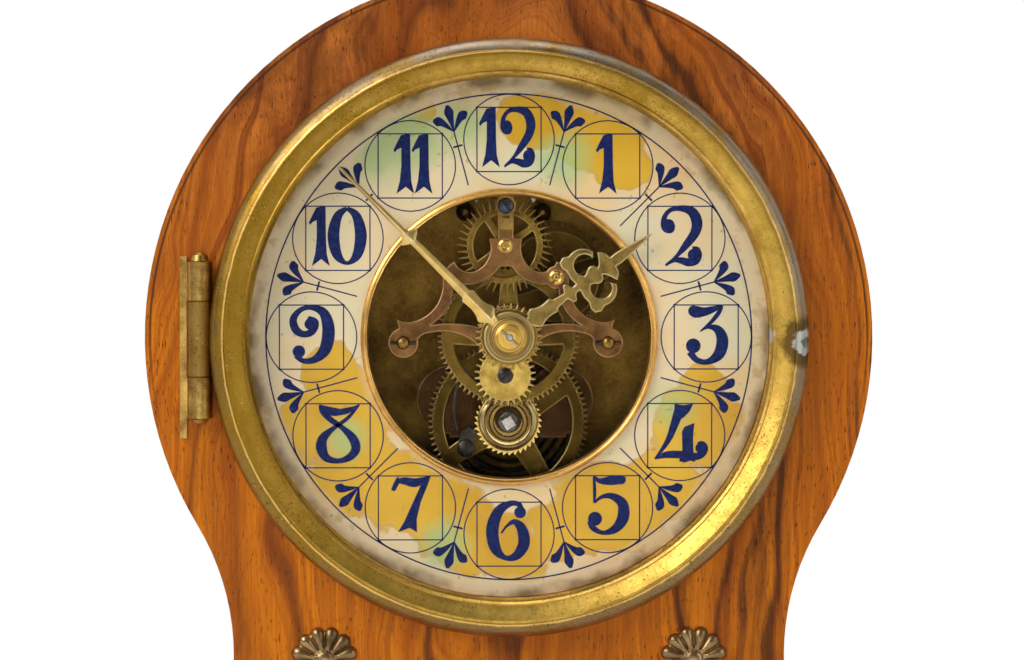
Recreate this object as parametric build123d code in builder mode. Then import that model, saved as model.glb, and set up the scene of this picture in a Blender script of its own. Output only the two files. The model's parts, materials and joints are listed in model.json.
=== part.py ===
from build123d import *
import math
import os

os.makedirs("parts", exist_ok=True)

# Case: a balloon outline, drawn about the dial's centre
AXIS_Z = 213.0
HEAD_R = 98.0
NECK_R = 68.4
NECK_ANGLE = 31.0
FOOT_HALF = 100.0
PLINTH_H = 16.0
PLINTH_HALF = 106.0
PLINTH_DEPTH = 130.0
PLINTH_STEP = 4.0
FOOT_H = 12.0
FOOT_R = 13.0
FRONT_FACE_Y = -50.0
FRONT_T = 14.0
BACK_FACE_Y = 50.0
BACK_T = 8.0
BAND_T = 8.0
FLOOR_T = 8.0

# Front opening and dial
DIAL_R = 70.8
DIAL_HOLE_R = 38.7
DIAL_T = 3.5
DIAL_SINK = 2.7
DIAL_PLATE_T = 1.5
DIAL_PLATE_HOLE_R = 39.5
SHOULDER_R = 66.0
SEAT_GAP = 0.3
RIM_R = 40.1
RIM_HOLE_R = 38.1
RIM_H = 1.9

# Bezel, its glass and its hinge
BEZEL_R = 80.2
BEZEL_H = 11.0
BEZEL_RIDGE_R = 75.9
BEZEL_LIP_R = 70.6
BEZEL_WALL_R = 73.0
GLASS_T = 1.5
GLASS_DEPTH = 7.4
SIGHT_R = 69.7
SIGHT_T = 1.6
CATCH_X = 72.3
CATCH_T = 0.8
CATCH_HALF = 5.0
CATCH_REACH = 4.5
HINGE_X = -83.0
KNUCKLE_R = 3.35
HINGE_PIN_R = 1.3
PIVOT_PLAY = 0.05
KNUCKLE_TOP = 20.3
KNUCKLE_LOW = -21.6
KNUCKLE_MID_TOP = 9.7
KNUCKLE_MID_LOW = -10.3
KNUCKLE_GAP = 0.3
LEAF_T = 1.0
LEAF_EDGE_X = -88.5
LEAF_NOTCH_X = -86.7

# Rosettes
ROSETTE_X = 49.8
ROSETTE_Z = -87.0
ROSETTE_R = 9.2
PETALS = 12
PETAL_R = 2.15
ROSETTE_T = 1.6

# Going train: teeth and modules
GREAT_TEETH = 84
GREAT_MODULE = 0.511
CENTRE_PINION = 8
CENTRE_TEETH = 78
CENTRE_MODULE = 0.4847
THIRD_PINION = 7
THIRD_TEETH = 62
THIRD_MODULE = 0.479
ESCAPE_PINION = 6
ESCAPE_TEETH = 42
ESCAPE_R = 13.0
ESCAPE_TOOTH = 2.7
MINUTE_TEETH = 28
MINUTE_MODULE = 0.554
CANNON_TEETH = 10
HOUR_TEETH = 30
HOUR_PINION = 7
RATCHET_TEETH = 36
RATCHET_R = 9.2
RATCHET_TOOTH = 1.0
GREAT_ANGLE = -90.0
THIRD_ANGLE = 51.2
ESCAPE_ANGLE = 148.5
MINUTE_ANGLE = -95.4
ANCHOR_DISTANCE = 18.7
PALLET_X = 8.4
PALLET_Z = -7.0

# Gear teeth as shares of the module and of the pitch
WHEEL_RISE = 1.0
PINION_RISE = 0.55
TOOTH_DROP = 1.45
WHEEL_ROOT = 0.25
WHEEL_TIP = 0.09
PINION_ROOT = 0.20
PINION_TIP = 0.12

# Layers of the movement: the back face of each, along Y, and its thickness
PLATE_Y = -40.1
PLATE_T = 1.8
ESCAPE_Y = -37.9
CENTRE_Y = -35.7
RATCHET_Y = -33.3
GREAT_Y = -31.0
BRIDGE_Y = -28.9
BRIDGE_T = 1.3
THIRD_Y = -22.0
BACKPLATE_Y = -5.5
BACKPLATE_T = 2.5
BACKPLATE_R = 58.0
WHEEL_T = 1.2
GREAT_T = 1.8
MINUTE_Y = -43.2
MINUTE_T = 1.0
HOUR_WHEEL_Y = -44.9
HOUR_WHEEL_T = 1.2

# Arbors and pivots
ARBOR_R = 0.9
PIVOT_R = 0.45
BACK_PIVOT_R = 0.6
CANNON_R = 1.75
HOUR_PIPE_R = 2.7

# Hands
HOUR_HAND_Y = -50.0
HAND_T = 1.0
MINUTE_HAND_Y = -52.0
MINUTE_BOSS_R = 5.4
HOUR_BOSS_R = 7.0
HOUR_LENGTH = 47.4
MINUTE_LENGTH = 64.7
HOUR_HAND_ANGLE = 36.0
MINUTE_HAND_ANGLE = 135.0
ARBOR_TIP_Y = -55.6
HAND_PIN_R = 0.35
HAND_PIN_HALF = 3.1
HAND_PIN_ANGLE = -42.0

# Front plate of the movement
PLATE_X = -0.8
EYE_X = 27.8
EYE_Z = -1.7
EYE_R = 4.05
PLATE_HUB_R = 8.4
NECK_HALF = 2.05
NECK_SCREW_Z = 35.5
TOP_PILLAR_X = 13.0

# Winding work
SQUARE = 3.5
SQUARE_ANGLE = 31.0
SQUARE_TIP_Y = -43.0
WINDING_R = 2.6
CLICK_X = -11.5
CLICK_Z = -7.2
CLICK_GAP = 0.2
SPRING_TURNS = 5
SPRING_R = 17.0
SPRING_CORE_R = 5.0
SPRING_T = 0.45
SPRING_W = 17.0

# Pendulum
PENDULUM_Y = 22.0
PENDULUM_LENGTH = 137.7
ROD_R = 1.2
BOB_R = 17.0
BOB_T = 9.0
NUT_R = 4.2
NUT_H = 3.0
SUSPENSION_L = 12.0
SUSPENSION_W = 5.0
SUSPENSION_T = 0.4

# Back door
DOOR_R = 71.0
DOOR_HOLE_R = 66.0
DOOR_T = 5.0
DOOR_GAP = 0.3
DOOR_DROP = 8.0

# Places worked out from the sizes above
CASE_FOOT_Z = FOOT_H + PLINTH_H
DIAL_FRONT_Y = FRONT_FACE_Y + DIAL_SINK
DIAL_BACK_Y = DIAL_FRONT_Y + DIAL_T
DIAL_PLATE_BACK_Y = DIAL_BACK_Y + DIAL_PLATE_T
BEZEL_BACK_Y = FRONT_FACE_Y - SEAT_GAP
HINGE_Y = FRONT_FACE_Y - 0.35 - KNUCKLE_R
PLATE_FRONT_Y = PLATE_Y - PLATE_T
MOTION_BACK_Y = PLATE_FRONT_Y - 0.3
HOUR_BOSS_FRONT_Y = HOUR_HAND_Y - HAND_T - 0.3
MINUTE_BOSS_FRONT_Y = MINUTE_HAND_Y - HAND_T - 0.9
WASHER_FRONT_Y = MINUTE_BOSS_FRONT_Y - 0.75
BACKPLATE_FRONT_Y = BACKPLATE_Y - BACKPLATE_T


def polar(radius, degrees, x=0.0, z=0.0):
    """The point at a radius and an angle about a centre, seen from the front."""
    turn = math.radians(degrees)
    return (x + radius * math.cos(turn), z + radius * math.sin(turn))


GREAT_X, GREAT_Z = polar((GREAT_TEETH + CENTRE_PINION) * GREAT_MODULE / 2, GREAT_ANGLE)
THIRD_X, THIRD_Z = polar((CENTRE_TEETH + THIRD_PINION) * CENTRE_MODULE / 2, THIRD_ANGLE)
ESCAPE_X, ESCAPE_Z = polar(
    (THIRD_TEETH + ESCAPE_PINION) * THIRD_MODULE / 2, ESCAPE_ANGLE, THIRD_X, THIRD_Z
)
ANCHOR_X, ANCHOR_Z = ESCAPE_X, ESCAPE_Z + ANCHOR_DISTANCE
MINUTE_DISTANCE = (MINUTE_TEETH + CANNON_TEETH) * MINUTE_MODULE / 2
MINUTE_X, MINUTE_Z = polar(MINUTE_DISTANCE, MINUTE_ANGLE)
HOUR_MODULE = 2 * MINUTE_DISTANCE / (HOUR_TEETH + HOUR_PINION)


def facing(y, x=0.0, z=0.0):
    """A plane at Y that faces the viewer, drawn about a point near the dial's centre."""
    return Plane(origin=(x, y, AXIS_Z + z), x_dir=(1, 0, 0), z_dir=(0, -1, 0))


def turned(points, x=0.0, z=0.0):
    """A solid turned about a front-to-back axis from (radius, Y) points."""
    with BuildSketch(Plane(origin=(x, 0, AXIS_Z + z), x_dir=(1, 0, 0), z_dir=(0, 0, 1))) as half:
        with BuildLine():
            Polyline(*points, close=True)
        make_face()
    revolve(half.sketch, axis=Axis((x, 0, AXIS_Z + z), (0, 1, 0)))


def rod(radius, y_back, y_front, x=0.0, z=0.0, mode=Mode.ADD):
    """A round bar or hole between two depths, the back one first."""
    with BuildSketch(facing(y_back, x, z)) as end:
        Circle(radius)
    extrude(end.sketch, amount=y_back - y_front, mode=mode)


def tooth_points(teeth, pitch_r, module, rise, root, tip, phase):
    """The outline of a wheel or pinion, four points to a tooth."""
    pitch = 360 / teeth
    outline = []
    for k in range(teeth):
        middle = phase + k * pitch
        outline.append(polar(pitch_r - TOOTH_DROP * module, middle - root * pitch))
        outline.append(polar(pitch_r + rise * module, middle - tip * pitch))
        outline.append(polar(pitch_r + rise * module, middle + tip * pitch))
        outline.append(polar(pitch_r - TOOTH_DROP * module, middle + root * pitch))
    return outline


def toothed(teeth, module, phase, pinion=False):
    """The outline points of a wheel, or of a pinion with its thinner leaves."""
    if pinion:
        return tooth_points(teeth, teeth * module / 2, module, PINION_RISE, PINION_ROOT, PINION_TIP, phase)
    return tooth_points(teeth, teeth * module / 2, module, WHEEL_RISE, WHEEL_ROOT, WHEEL_TIP, phase)


def meshed(phase, teeth, direction, mate_teeth):
    """The phase of a wheel's mate, so that a tooth of one stands in a space of the other."""
    lead = phase - direction
    return direction + 180 + 180 / mate_teeth - lead * teeth / mate_teeth


def wheel(y, thick, x, z, outline, rim_r, hub_r, bore_r, spokes=4, angle=0.0, hub_w=4.6, rim_w=3.0):
    """A wheel with its rim, hub and tapered spokes, bored for its arbor."""
    with BuildSketch(facing(y, x, z)) as face:
        Polygon(*outline, align=None)
        Circle(rim_r, mode=Mode.SUBTRACT)
        Circle(hub_r)
        with PolarLocations(0, spokes, start_angle=angle):
            Polygon(
                (0, hub_w / 2), (0, -hub_w / 2), (rim_r + 0.4, -rim_w / 2), (rim_r + 0.4, rim_w / 2),
                align=None,
            )
        Circle(bore_r, mode=Mode.SUBTRACT)
    extrude(face.sketch, amount=thick)


def pinion(y, length, x, z, teeth, module, phase):
    """Leaves cut in an arbor."""
    with BuildSketch(facing(y, x, z)) as face:
        Polygon(*toothed(teeth, module, phase, pinion=True), align=None)
    extrude(face.sketch, amount=length)


NECK_X, NECK_Z = polar(HEAD_R + NECK_R, -NECK_ANGLE)
WAIST_HALF = NECK_X - NECK_R
FLARE_SPREAD = FOOT_HALF - WAIST_HALF
FLARE_DROP = NECK_Z - (CASE_FOOT_Z - AXIS_Z)
FLARE_R = (FLARE_SPREAD ** 2 + FLARE_DROP ** 2) / (2 * FLARE_SPREAD)


def flare_half(inset, z):
    """The case's half width below the waist, at a height about the dial's centre."""
    return WAIST_HALF + FLARE_R - math.sqrt((FLARE_R + inset) ** 2 - (NECK_Z - z) ** 2)


def balloon(inset, foot_z):
    """The closed balloon outline, inset from the case's own, down to a foot height."""
    low_z = foot_z - AXIS_Z
    foot_x = flare_half(inset, low_z)
    half_way = math.degrees(math.asin((NECK_Z - low_z) / (FLARE_R + inset))) / 2
    shoulder_x, shoulder_z = polar(HEAD_R - inset, -NECK_ANGLE)
    bend_x, bend_z = polar(NECK_R + inset, 180 - NECK_ANGLE / 2, NECK_X, NECK_Z)
    flare_x, flare_z = polar(FLARE_R + inset, 180 + half_way, WAIST_HALF + FLARE_R, NECK_Z)
    waist_x = WAIST_HALF - inset
    with BuildSketch() as shape:
        with BuildLine():
            ThreePointArc((-shoulder_x, shoulder_z), (0, HEAD_R - inset), (shoulder_x, shoulder_z))
            for side in (1, -1):
                ThreePointArc(
                    (side * shoulder_x, shoulder_z), (side * bend_x, bend_z), (side * waist_x, NECK_Z)
                )
                ThreePointArc((side * waist_x, NECK_Z), (side * flare_x, flare_z), (side * foot_x, low_z))
            Line((-foot_x, low_z), (foot_x, low_z))
        make_face()
    return shape.sketch_local


# Wooden case
with BuildPart() as plinth:
    with BuildSketch(Plane.XY.offset(FOOT_H)):
        Rectangle(2 * PLINTH_HALF, PLINTH_DEPTH)
    extrude(amount=PLINTH_H - PLINTH_STEP)
    fillet(plinth.edges().filter_by(Axis.Z), 2.0)
    with BuildSketch(Plane.XY.offset(FOOT_H + PLINTH_H - PLINTH_STEP)):
        Rectangle(2 * PLINTH_HALF - 6, PLINTH_DEPTH - 16)
    extrude(amount=PLINTH_STEP, taper=25)
plinth.part.label = "plinth"

with BuildPart() as feet:
    inset_x = PLINTH_HALF - FOOT_R - 4
    inset_y = PLINTH_DEPTH / 2 - FOOT_R - 4
    for foot_x in (-inset_x, inset_x):
        for foot_y in (-inset_y, inset_y):
            with BuildSketch(Plane(origin=(foot_x, foot_y, 0), x_dir=(1, 0, 0), z_dir=(0, -1, 0))) as bun:
                with BuildLine():
                    Polyline(
                        (FOOT_R - 4, 0), (0, 0), (0, FOOT_H), (FOOT_R - 3, FOOT_H), (FOOT_R - 3, FOOT_H - 2)
                    )
                    ThreePointArc((FOOT_R - 3, FOOT_H - 2), (FOOT_R, FOOT_H / 2 - 1), (FOOT_R - 4, 0))
                make_face()
            revolve(bun.sketch, axis=Axis((foot_x, foot_y, 0), (0, 0, 1)))
feet.part.label = "feet"

with BuildPart() as floor_board:
    floor_half = flare_half(BAND_T, CASE_FOOT_Z + FLOOR_T - AXIS_Z) - SEAT_GAP
    floor_depth = BACK_FACE_Y - BACK_T - FRONT_FACE_Y - FRONT_T
    floor_y = (BACK_FACE_Y - BACK_T + FRONT_FACE_Y + FRONT_T) / 2
    with BuildSketch(Plane(origin=(0, floor_y, CASE_FOOT_Z))):
        Rectangle(2 * floor_half, floor_depth)
    extrude(amount=FLOOR_T)
floor_board.part.label = "floor_board"

with BuildPart() as front_board:
    with BuildSketch(facing(FRONT_FACE_Y + FRONT_T)):
        add(balloon(0, CASE_FOOT_Z))
        Circle(SHOULDER_R, mode=Mode.SUBTRACT)
    extrude(amount=FRONT_T)
    rebate_y = DIAL_PLATE_BACK_Y
    rod(DIAL_R + 0.7, rebate_y, FRONT_FACE_Y - 1, mode=Mode.SUBTRACT)
    # the mortise that takes the bezel's catch
    with BuildSketch(facing(FRONT_FACE_Y + CATCH_REACH + 1.5, CATCH_X)) as mortise:
        with Locations((0.6, 0)):
            Rectangle(4.4, 2 * CATCH_HALF + 3)
    extrude(mortise.sketch, amount=CATCH_REACH + 3, mode=Mode.SUBTRACT)
front_board.part.label = "front_board"

with BuildPart() as side_band:
    with BuildSketch(facing(BACK_FACE_Y - BACK_T)):
        add(balloon(0, CASE_FOOT_Z))
        add(balloon(BAND_T, CASE_FOOT_Z - 2), mode=Mode.SUBTRACT)
    extrude(amount=floor_depth)
side_band.part.label = "side_band"

with BuildPart() as back_board:
    with BuildSketch(facing(BACK_FACE_Y)):
        add(balloon(0, CASE_FOOT_Z))
        with Locations((0, -DOOR_DROP)):
            Circle(DOOR_HOLE_R, mode=Mode.SUBTRACT)
    extrude(amount=BACK_T)
back_board.part.label = "back_board"

# Back door on its butt hinge, with a knob and a turn button
DOOR_BACK_Y = BACK_FACE_Y + DOOR_GAP + DOOR_T
DOOR_HINGE_X = DOOR_R + 4.0
DOOR_HINGE_Y = BACK_FACE_Y + 2.6
DOOR_KNUCKLE_R = 2.2
DOOR_HINGE_HALF = 15.0
with BuildPart() as back_door:
    with BuildSketch(facing(DOOR_BACK_Y, 0, -DOOR_DROP)):
        Circle(DOOR_R)
    extrude(amount=DOOR_T)
    chamfer(back_door.faces().sort_by(Axis.Y)[-1].edges(), 1.5)
back_door.part.label = "back_door"

with BuildPart() as door_hinge_leaf:
    # the fixed leaf on the back board, with the two outer knuckles
    for low, high in ((5.2, DOOR_HINGE_HALF), (-DOOR_HINGE_HALF, -5.2)):
        with BuildSketch(Plane(origin=(DOOR_HINGE_X, DOOR_HINGE_Y, AXIS_Z - DOOR_DROP + low))) as barrel:
            Circle(DOOR_KNUCKLE_R)
        extrude(barrel.sketch, amount=high - low)
        with BuildSketch(facing(BACK_FACE_Y + 0.9, DOOR_HINGE_X, -DOOR_DROP)) as strap:
            with Locations((0, (low + high) / 2)):
                Rectangle(3, high - low)
        extrude(strap.sketch, amount=0.9)
    with BuildSketch(facing(BACK_FACE_Y + 0.9, DOOR_HINGE_X, -DOOR_DROP)) as plate:
        with Locations((5.4, 0)):
            Rectangle(5.4, 2 * DOOR_HINGE_HALF)
        with Locations((2.2, 10.1), (2.2, -10.1)):
            Rectangle(3.4, 2 * DOOR_HINGE_HALF / 3 - 0.2)
    extrude(plate.sketch, amount=0.9)
    with BuildSketch(Plane(origin=(DOOR_HINGE_X, DOOR_HINGE_Y, AXIS_Z - DOOR_DROP - 20))) as bore:
        Circle(0.8 + PIVOT_PLAY)
    extrude(bore.sketch, amount=40, mode=Mode.SUBTRACT)
    with BuildSketch(Plane(origin=(DOOR_HINGE_X, DOOR_HINGE_Y, AXIS_Z - DOOR_DROP - 16))) as shank:
        Circle(0.8)
    extrude(shank.sketch, amount=32)
door_hinge_leaf.part.label = "door_hinge_leaf"

with BuildPart() as door_fittings:
    # the door's knob, and the moving leaf of its hinge with the middle knuckle
    with BuildSketch(Plane(origin=(DOOR_HINGE_X, DOOR_HINGE_Y, AXIS_Z - DOOR_DROP - 4.9))) as barrel:
        Circle(DOOR_KNUCKLE_R)
    extrude(barrel.sketch, amount=9.8)
    with BuildSketch(facing(DOOR_BACK_Y + 0.9, DOOR_HINGE_X, -DOOR_DROP)) as plate:
        with Locations((-8.5, 0)):
            Rectangle(9, 9.8)
    extrude(plate.sketch, amount=0.9)
    with BuildSketch(facing(DOOR_BACK_Y + 0.9, DOOR_HINGE_X, -DOOR_DROP)) as arm:
        with Locations((-2.2, 0)):
            Rectangle(4.4, 9.8)
    extrude(arm.sketch, amount=DOOR_BACK_Y + 0.9 - DOOR_HINGE_Y)
    with BuildSketch(facing(DOOR_BACK_Y, DOOR_HINGE_X, -DOOR_DROP)) as relief:
        with Locations((-10.5, 0)):
            Rectangle(14, 20)
    extrude(relief.sketch, amount=DOOR_T + 1, mode=Mode.SUBTRACT)
    with BuildSketch(Plane(origin=(DOOR_HINGE_X, DOOR_HINGE_Y, AXIS_Z - DOOR_DROP - 20))) as bore:
        Circle(0.8 + PIVOT_PLAY)
    extrude(bore.sketch, amount=40, mode=Mode.SUBTRACT)
    turned(
        [(0, DOOR_BACK_Y), (3.6, DOOR_BACK_Y), (3.6, DOOR_BACK_Y + 0.8), (1.8, DOOR_BACK_Y + 1.6),
         (1.8, DOOR_BACK_Y + 3.2), (3.4, DOOR_BACK_Y + 4.4), (3.7, DOOR_BACK_Y + 5.8),
         (2.6, DOOR_BACK_Y + 7.4), (0, DOOR_BACK_Y + 7.9)],
        12 - DOOR_R, -DOOR_DROP,
    )
door_fittings.part.label = "door_fittings"

with BuildPart() as turn_button:
    # turns over the door's edge to hold it shut
    button_x = -DOOR_R - 6.5
    with BuildSketch(facing(DOOR_BACK_Y + 1.8, button_x, -DOOR_DROP)) as bar:
        SlotCenterToCenter(15, 6, rotation=90)
    extrude(bar.sketch, amount=1.6)
    rod(2.6, DOOR_BACK_Y + 1.8, BACK_FACE_Y + 0.3, button_x, -DOOR_DROP)
    rod(1.2 + PIVOT_PLAY, DOOR_BACK_Y + 3, BACK_FACE_Y - 1, button_x, -DOOR_DROP, mode=Mode.SUBTRACT)
turn_button.part.label = "turn_button"

with BuildPart() as button_screw:
    rod(1.2, DOOR_BACK_Y + 2.1, BACK_FACE_Y, button_x, -DOOR_DROP)
    rod(2.6, DOOR_BACK_Y + 3.3, DOOR_BACK_Y + 2.1, button_x, -DOOR_DROP)
button_screw.part.label = "button_screw"

# Brass on the front: rosettes, hinge and bezel
with BuildPart() as rosettes:
    for rosette_x in (-ROSETTE_X, ROSETTE_X):
        with BuildSketch(facing(FRONT_FACE_Y, rosette_x, ROSETTE_Z)) as flower:
            Circle(ROSETTE_R - PETAL_R)
            with PolarLocations(ROSETTE_R - PETAL_R, PETALS):
                Circle(PETAL_R)
        extrude(flower.sketch, amount=ROSETTE_T)
        turned(
            [(0, FRONT_FACE_Y - ROSETTE_T), (3.4, FRONT_FACE_Y - ROSETTE_T),
             (3.0, FRONT_FACE_Y - ROSETTE_T - 0.7), (2.0, FRONT_FACE_Y - ROSETTE_T - 1.6),
             (0.9, FRONT_FACE_Y - ROSETTE_T - 2.0), (0, FRONT_FACE_Y - ROSETTE_T - 2.1)],
            rosette_x, ROSETTE_Z,
        )
rosettes.part.label = "rosettes"


def barrel_between(low, high):
    """A hinge knuckle between two heights about the dial's centre."""
    with BuildSketch(Plane(origin=(HINGE_X, HINGE_Y, AXIS_Z + low))) as barrel:
        Circle(KNUCKLE_R)
    extrude(barrel.sketch, amount=high - low)


def hinge_bore():
    """The hole for the bezel's hinge pin."""
    with BuildSketch(Plane(origin=(HINGE_X, HINGE_Y, AXIS_Z - 40))) as bore:
        Circle(HINGE_PIN_R + PIVOT_PLAY)
    extrude(bore.sketch, amount=80, mode=Mode.SUBTRACT)


with BuildPart() as hinge_leaf:
    outer_knuckles = (
        (KNUCKLE_MID_TOP + KNUCKLE_GAP, KNUCKLE_TOP), (KNUCKLE_LOW, KNUCKLE_MID_LOW - KNUCKLE_GAP),
    )
    for low, high in outer_knuckles:
        barrel_between(low, high)
        with BuildSketch(facing(FRONT_FACE_Y)) as neck:
            with Locations(((HINGE_X + LEAF_NOTCH_X) / 2, (low + high) / 2)):
                Rectangle(HINGE_X - LEAF_NOTCH_X, high - low)
        extrude(neck.sketch, amount=LEAF_T + 0.6)
    with BuildSketch(facing(FRONT_FACE_Y)) as plate:
        with Locations(((LEAF_EDGE_X + LEAF_NOTCH_X) / 2, (KNUCKLE_TOP + KNUCKLE_LOW) / 2 - 2)):
            Rectangle(LEAF_NOTCH_X - LEAF_EDGE_X, KNUCKLE_TOP - KNUCKLE_LOW + 7)
    extrude(plate.sketch, amount=LEAF_T)
    hinge_bore()
hinge_leaf.part.label = "hinge_leaf"

with BuildPart() as hinge_pin:
    with BuildSketch(Plane(origin=(HINGE_X, HINGE_Y, AXIS_Z), x_dir=(1, 0, 0), z_dir=(0, -1, 0))) as shank:
        with BuildLine():
            Polyline(
                (0, KNUCKLE_LOW - 1.6), (1.6, KNUCKLE_LOW - 1.3), (2.5, KNUCKLE_LOW - 0.3),
                (HINGE_PIN_R, KNUCKLE_LOW - 0.3), (HINGE_PIN_R, KNUCKLE_TOP + 0.3),
                (2.5, KNUCKLE_TOP + 0.3), (2.1, KNUCKLE_TOP + 1.8), (1.2, KNUCKLE_TOP + 2.5),
                (0, KNUCKLE_TOP + 2.7), close=True,
            )
        make_face()
    revolve(shank.sketch, axis=Axis((HINGE_X, HINGE_Y, 0), (0, 0, 1)))
hinge_pin.part.label = "hinge_pin"

GLASS_FRONT_Y = BEZEL_BACK_Y - GLASS_DEPTH
with BuildPart() as bezel:
    ridge_y = BEZEL_BACK_Y - BEZEL_H
    with BuildSketch(Plane(origin=(0, 0, AXIS_Z))) as section:
        with BuildLine():
            Line((BEZEL_WALL_R, BEZEL_BACK_Y), (BEZEL_R, BEZEL_BACK_Y))
            Line((BEZEL_R, BEZEL_BACK_Y), (BEZEL_R, ridge_y + 6.2))
            ThreePointArc(
                (BEZEL_R, ridge_y + 6.2), (BEZEL_R - 1.1, ridge_y + 2.3),
                (BEZEL_RIDGE_R + 0.7, ridge_y + 0.9)
            )
            Polyline(
                (BEZEL_RIDGE_R + 0.7, ridge_y + 0.9), (BEZEL_RIDGE_R + 0.3, ridge_y),
                (BEZEL_RIDGE_R - 0.4, ridge_y), (BEZEL_LIP_R + 1.0, GLASS_FRONT_Y - 1.5),
                (BEZEL_LIP_R + 0.6, GLASS_FRONT_Y - 1.7), (BEZEL_LIP_R, GLASS_FRONT_Y - 1.2),
                (BEZEL_LIP_R, GLASS_FRONT_Y), (BEZEL_WALL_R, GLASS_FRONT_Y), (BEZEL_WALL_R, BEZEL_BACK_Y),
            )
        make_face()
    revolve(section.sketch, axis=Axis((0, 0, AXIS_Z), (0, 1, 0)))
    barrel_between(KNUCKLE_MID_LOW, KNUCKLE_MID_TOP)
    with BuildSketch(facing(BEZEL_BACK_Y, HINGE_X)) as tab:
        with Locations((2.9, (KNUCKLE_MID_TOP + KNUCKLE_MID_LOW) / 2)):
            Rectangle(5.8, KNUCKLE_MID_TOP - KNUCKLE_MID_LOW)
    extrude(tab.sketch, amount=2.4)
    hinge_bore()
bezel.part.label = "bezel"

with BuildPart() as glass:
    rod(BEZEL_WALL_R - 0.1, GLASS_FRONT_Y + GLASS_T, GLASS_FRONT_Y)
glass.part.label = "glass"

with BuildPart() as sight_ring:
    sight_y = GLASS_FRONT_Y + GLASS_T
    turned(
        [(SIGHT_R, sight_y), (BEZEL_WALL_R - 0.05, sight_y), (BEZEL_WALL_R - 0.05, sight_y + 4.2),
         (BEZEL_WALL_R - 0.9, sight_y + 4.2), (BEZEL_WALL_R - 1.2, sight_y + SIGHT_T),
         (SIGHT_R + 0.4, sight_y + SIGHT_T)],
    )
sight_ring.part.label = "sight_ring"

with BuildPart() as bezel_catch:
    # the spring tongue inside the bezel, which goes into its mortise in the front board
    with BuildSketch(facing(FRONT_FACE_Y + CATCH_REACH, CATCH_X)) as tongue:
        Rectangle(CATCH_T, 2 * CATCH_HALF)
    extrude(tongue.sketch, amount=CATCH_REACH + 1.9)
    with BuildSketch(facing(FRONT_FACE_Y + CATCH_REACH, CATCH_X)) as lip:
        with Locations((0.35, 0)):
            Rectangle(CATCH_T + 0.7, 2 * CATCH_HALF)
    extrude(lip.sketch, amount=1.2)
bezel_catch.part.label = "bezel_catch"

# Dial
with BuildPart() as dial_plate:
    with BuildSketch(facing(DIAL_PLATE_BACK_Y)):
        Circle(DIAL_R + 0.4)
        Circle(DIAL_PLATE_HOLE_R, mode=Mode.SUBTRACT)
    extrude(amount=DIAL_PLATE_T)
dial_plate.part.label = "dial_plate"

with BuildPart() as dial:
    turned(
        [(DIAL_HOLE_R, DIAL_BACK_Y), (DIAL_R, DIAL_BACK_Y), (DIAL_R, DIAL_FRONT_Y + 0.6),
         (DIAL_R - 0.6, DIAL_FRONT_Y), (DIAL_HOLE_R + 0.4, DIAL_FRONT_Y),
         (DIAL_HOLE_R, DIAL_FRONT_Y + 0.4)],
    )
dial.part.label = "dial"

with BuildPart() as dial_rim:
    # the round brass edge of the dial's opening, with a groove in its front
    turned(
        [(RIM_HOLE_R, DIAL_BACK_Y), (DIAL_HOLE_R - 0.1, DIAL_BACK_Y), (DIAL_HOLE_R - 0.1, DIAL_FRONT_Y),
         (RIM_R, DIAL_FRONT_Y), (RIM_R, DIAL_FRONT_Y - 0.9), (RIM_R - 0.4, DIAL_FRONT_Y - 1.6),
         (RIM_R - 0.9, DIAL_FRONT_Y - RIM_H), (RIM_HOLE_R + 0.75, DIAL_FRONT_Y - RIM_H + 0.15),
         (RIM_HOLE_R + 0.6, DIAL_FRONT_Y - RIM_H + 0.4), (RIM_HOLE_R + 0.3, DIAL_FRONT_Y - RIM_H + 0.3),
         (RIM_HOLE_R, DIAL_FRONT_Y - RIM_H + 0.8)],
    )
dial_rim.part.label = "dial_rim"

# Frame of the movement
PILLAR_RING_R = 52.0
with BuildPart() as back_plate:
    with BuildSketch(facing(BACKPLATE_Y)):
        Circle(BACKPLATE_R)
        for hole_x, hole_z in ((0, 0), (THIRD_X, THIRD_Z), (ESCAPE_X, ESCAPE_Z), (ANCHOR_X, ANCHOR_Z)):
            with Locations((hole_x, hole_z)):
                Circle(BACK_PIVOT_R + PIVOT_PLAY, mode=Mode.SUBTRACT)
        with Locations((GREAT_X, GREAT_Z)):
            Circle(WINDING_R - 0.8 + PIVOT_PLAY, mode=Mode.SUBTRACT)
    extrude(amount=BACKPLATE_T)
back_plate.part.label = "back_plate"

with BuildPart() as movement_pillars:
    for k in range(4):
        pillar_x, pillar_z = polar(PILLAR_RING_R, 45 + 90 * k)
        turned(
            [(0, BACKPLATE_FRONT_Y), (3.2, BACKPLATE_FRONT_Y), (3.2, BACKPLATE_FRONT_Y - 1.5),
             (2.2, BACKPLATE_FRONT_Y - 2.5), (2.2, DIAL_PLATE_BACK_Y + 2.5),
             (3.2, DIAL_PLATE_BACK_Y + 1.5), (3.2, DIAL_PLATE_BACK_Y), (0, DIAL_PLATE_BACK_Y)],
            pillar_x, pillar_z,
        )
movement_pillars.part.label = "movement_pillars"

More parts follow.
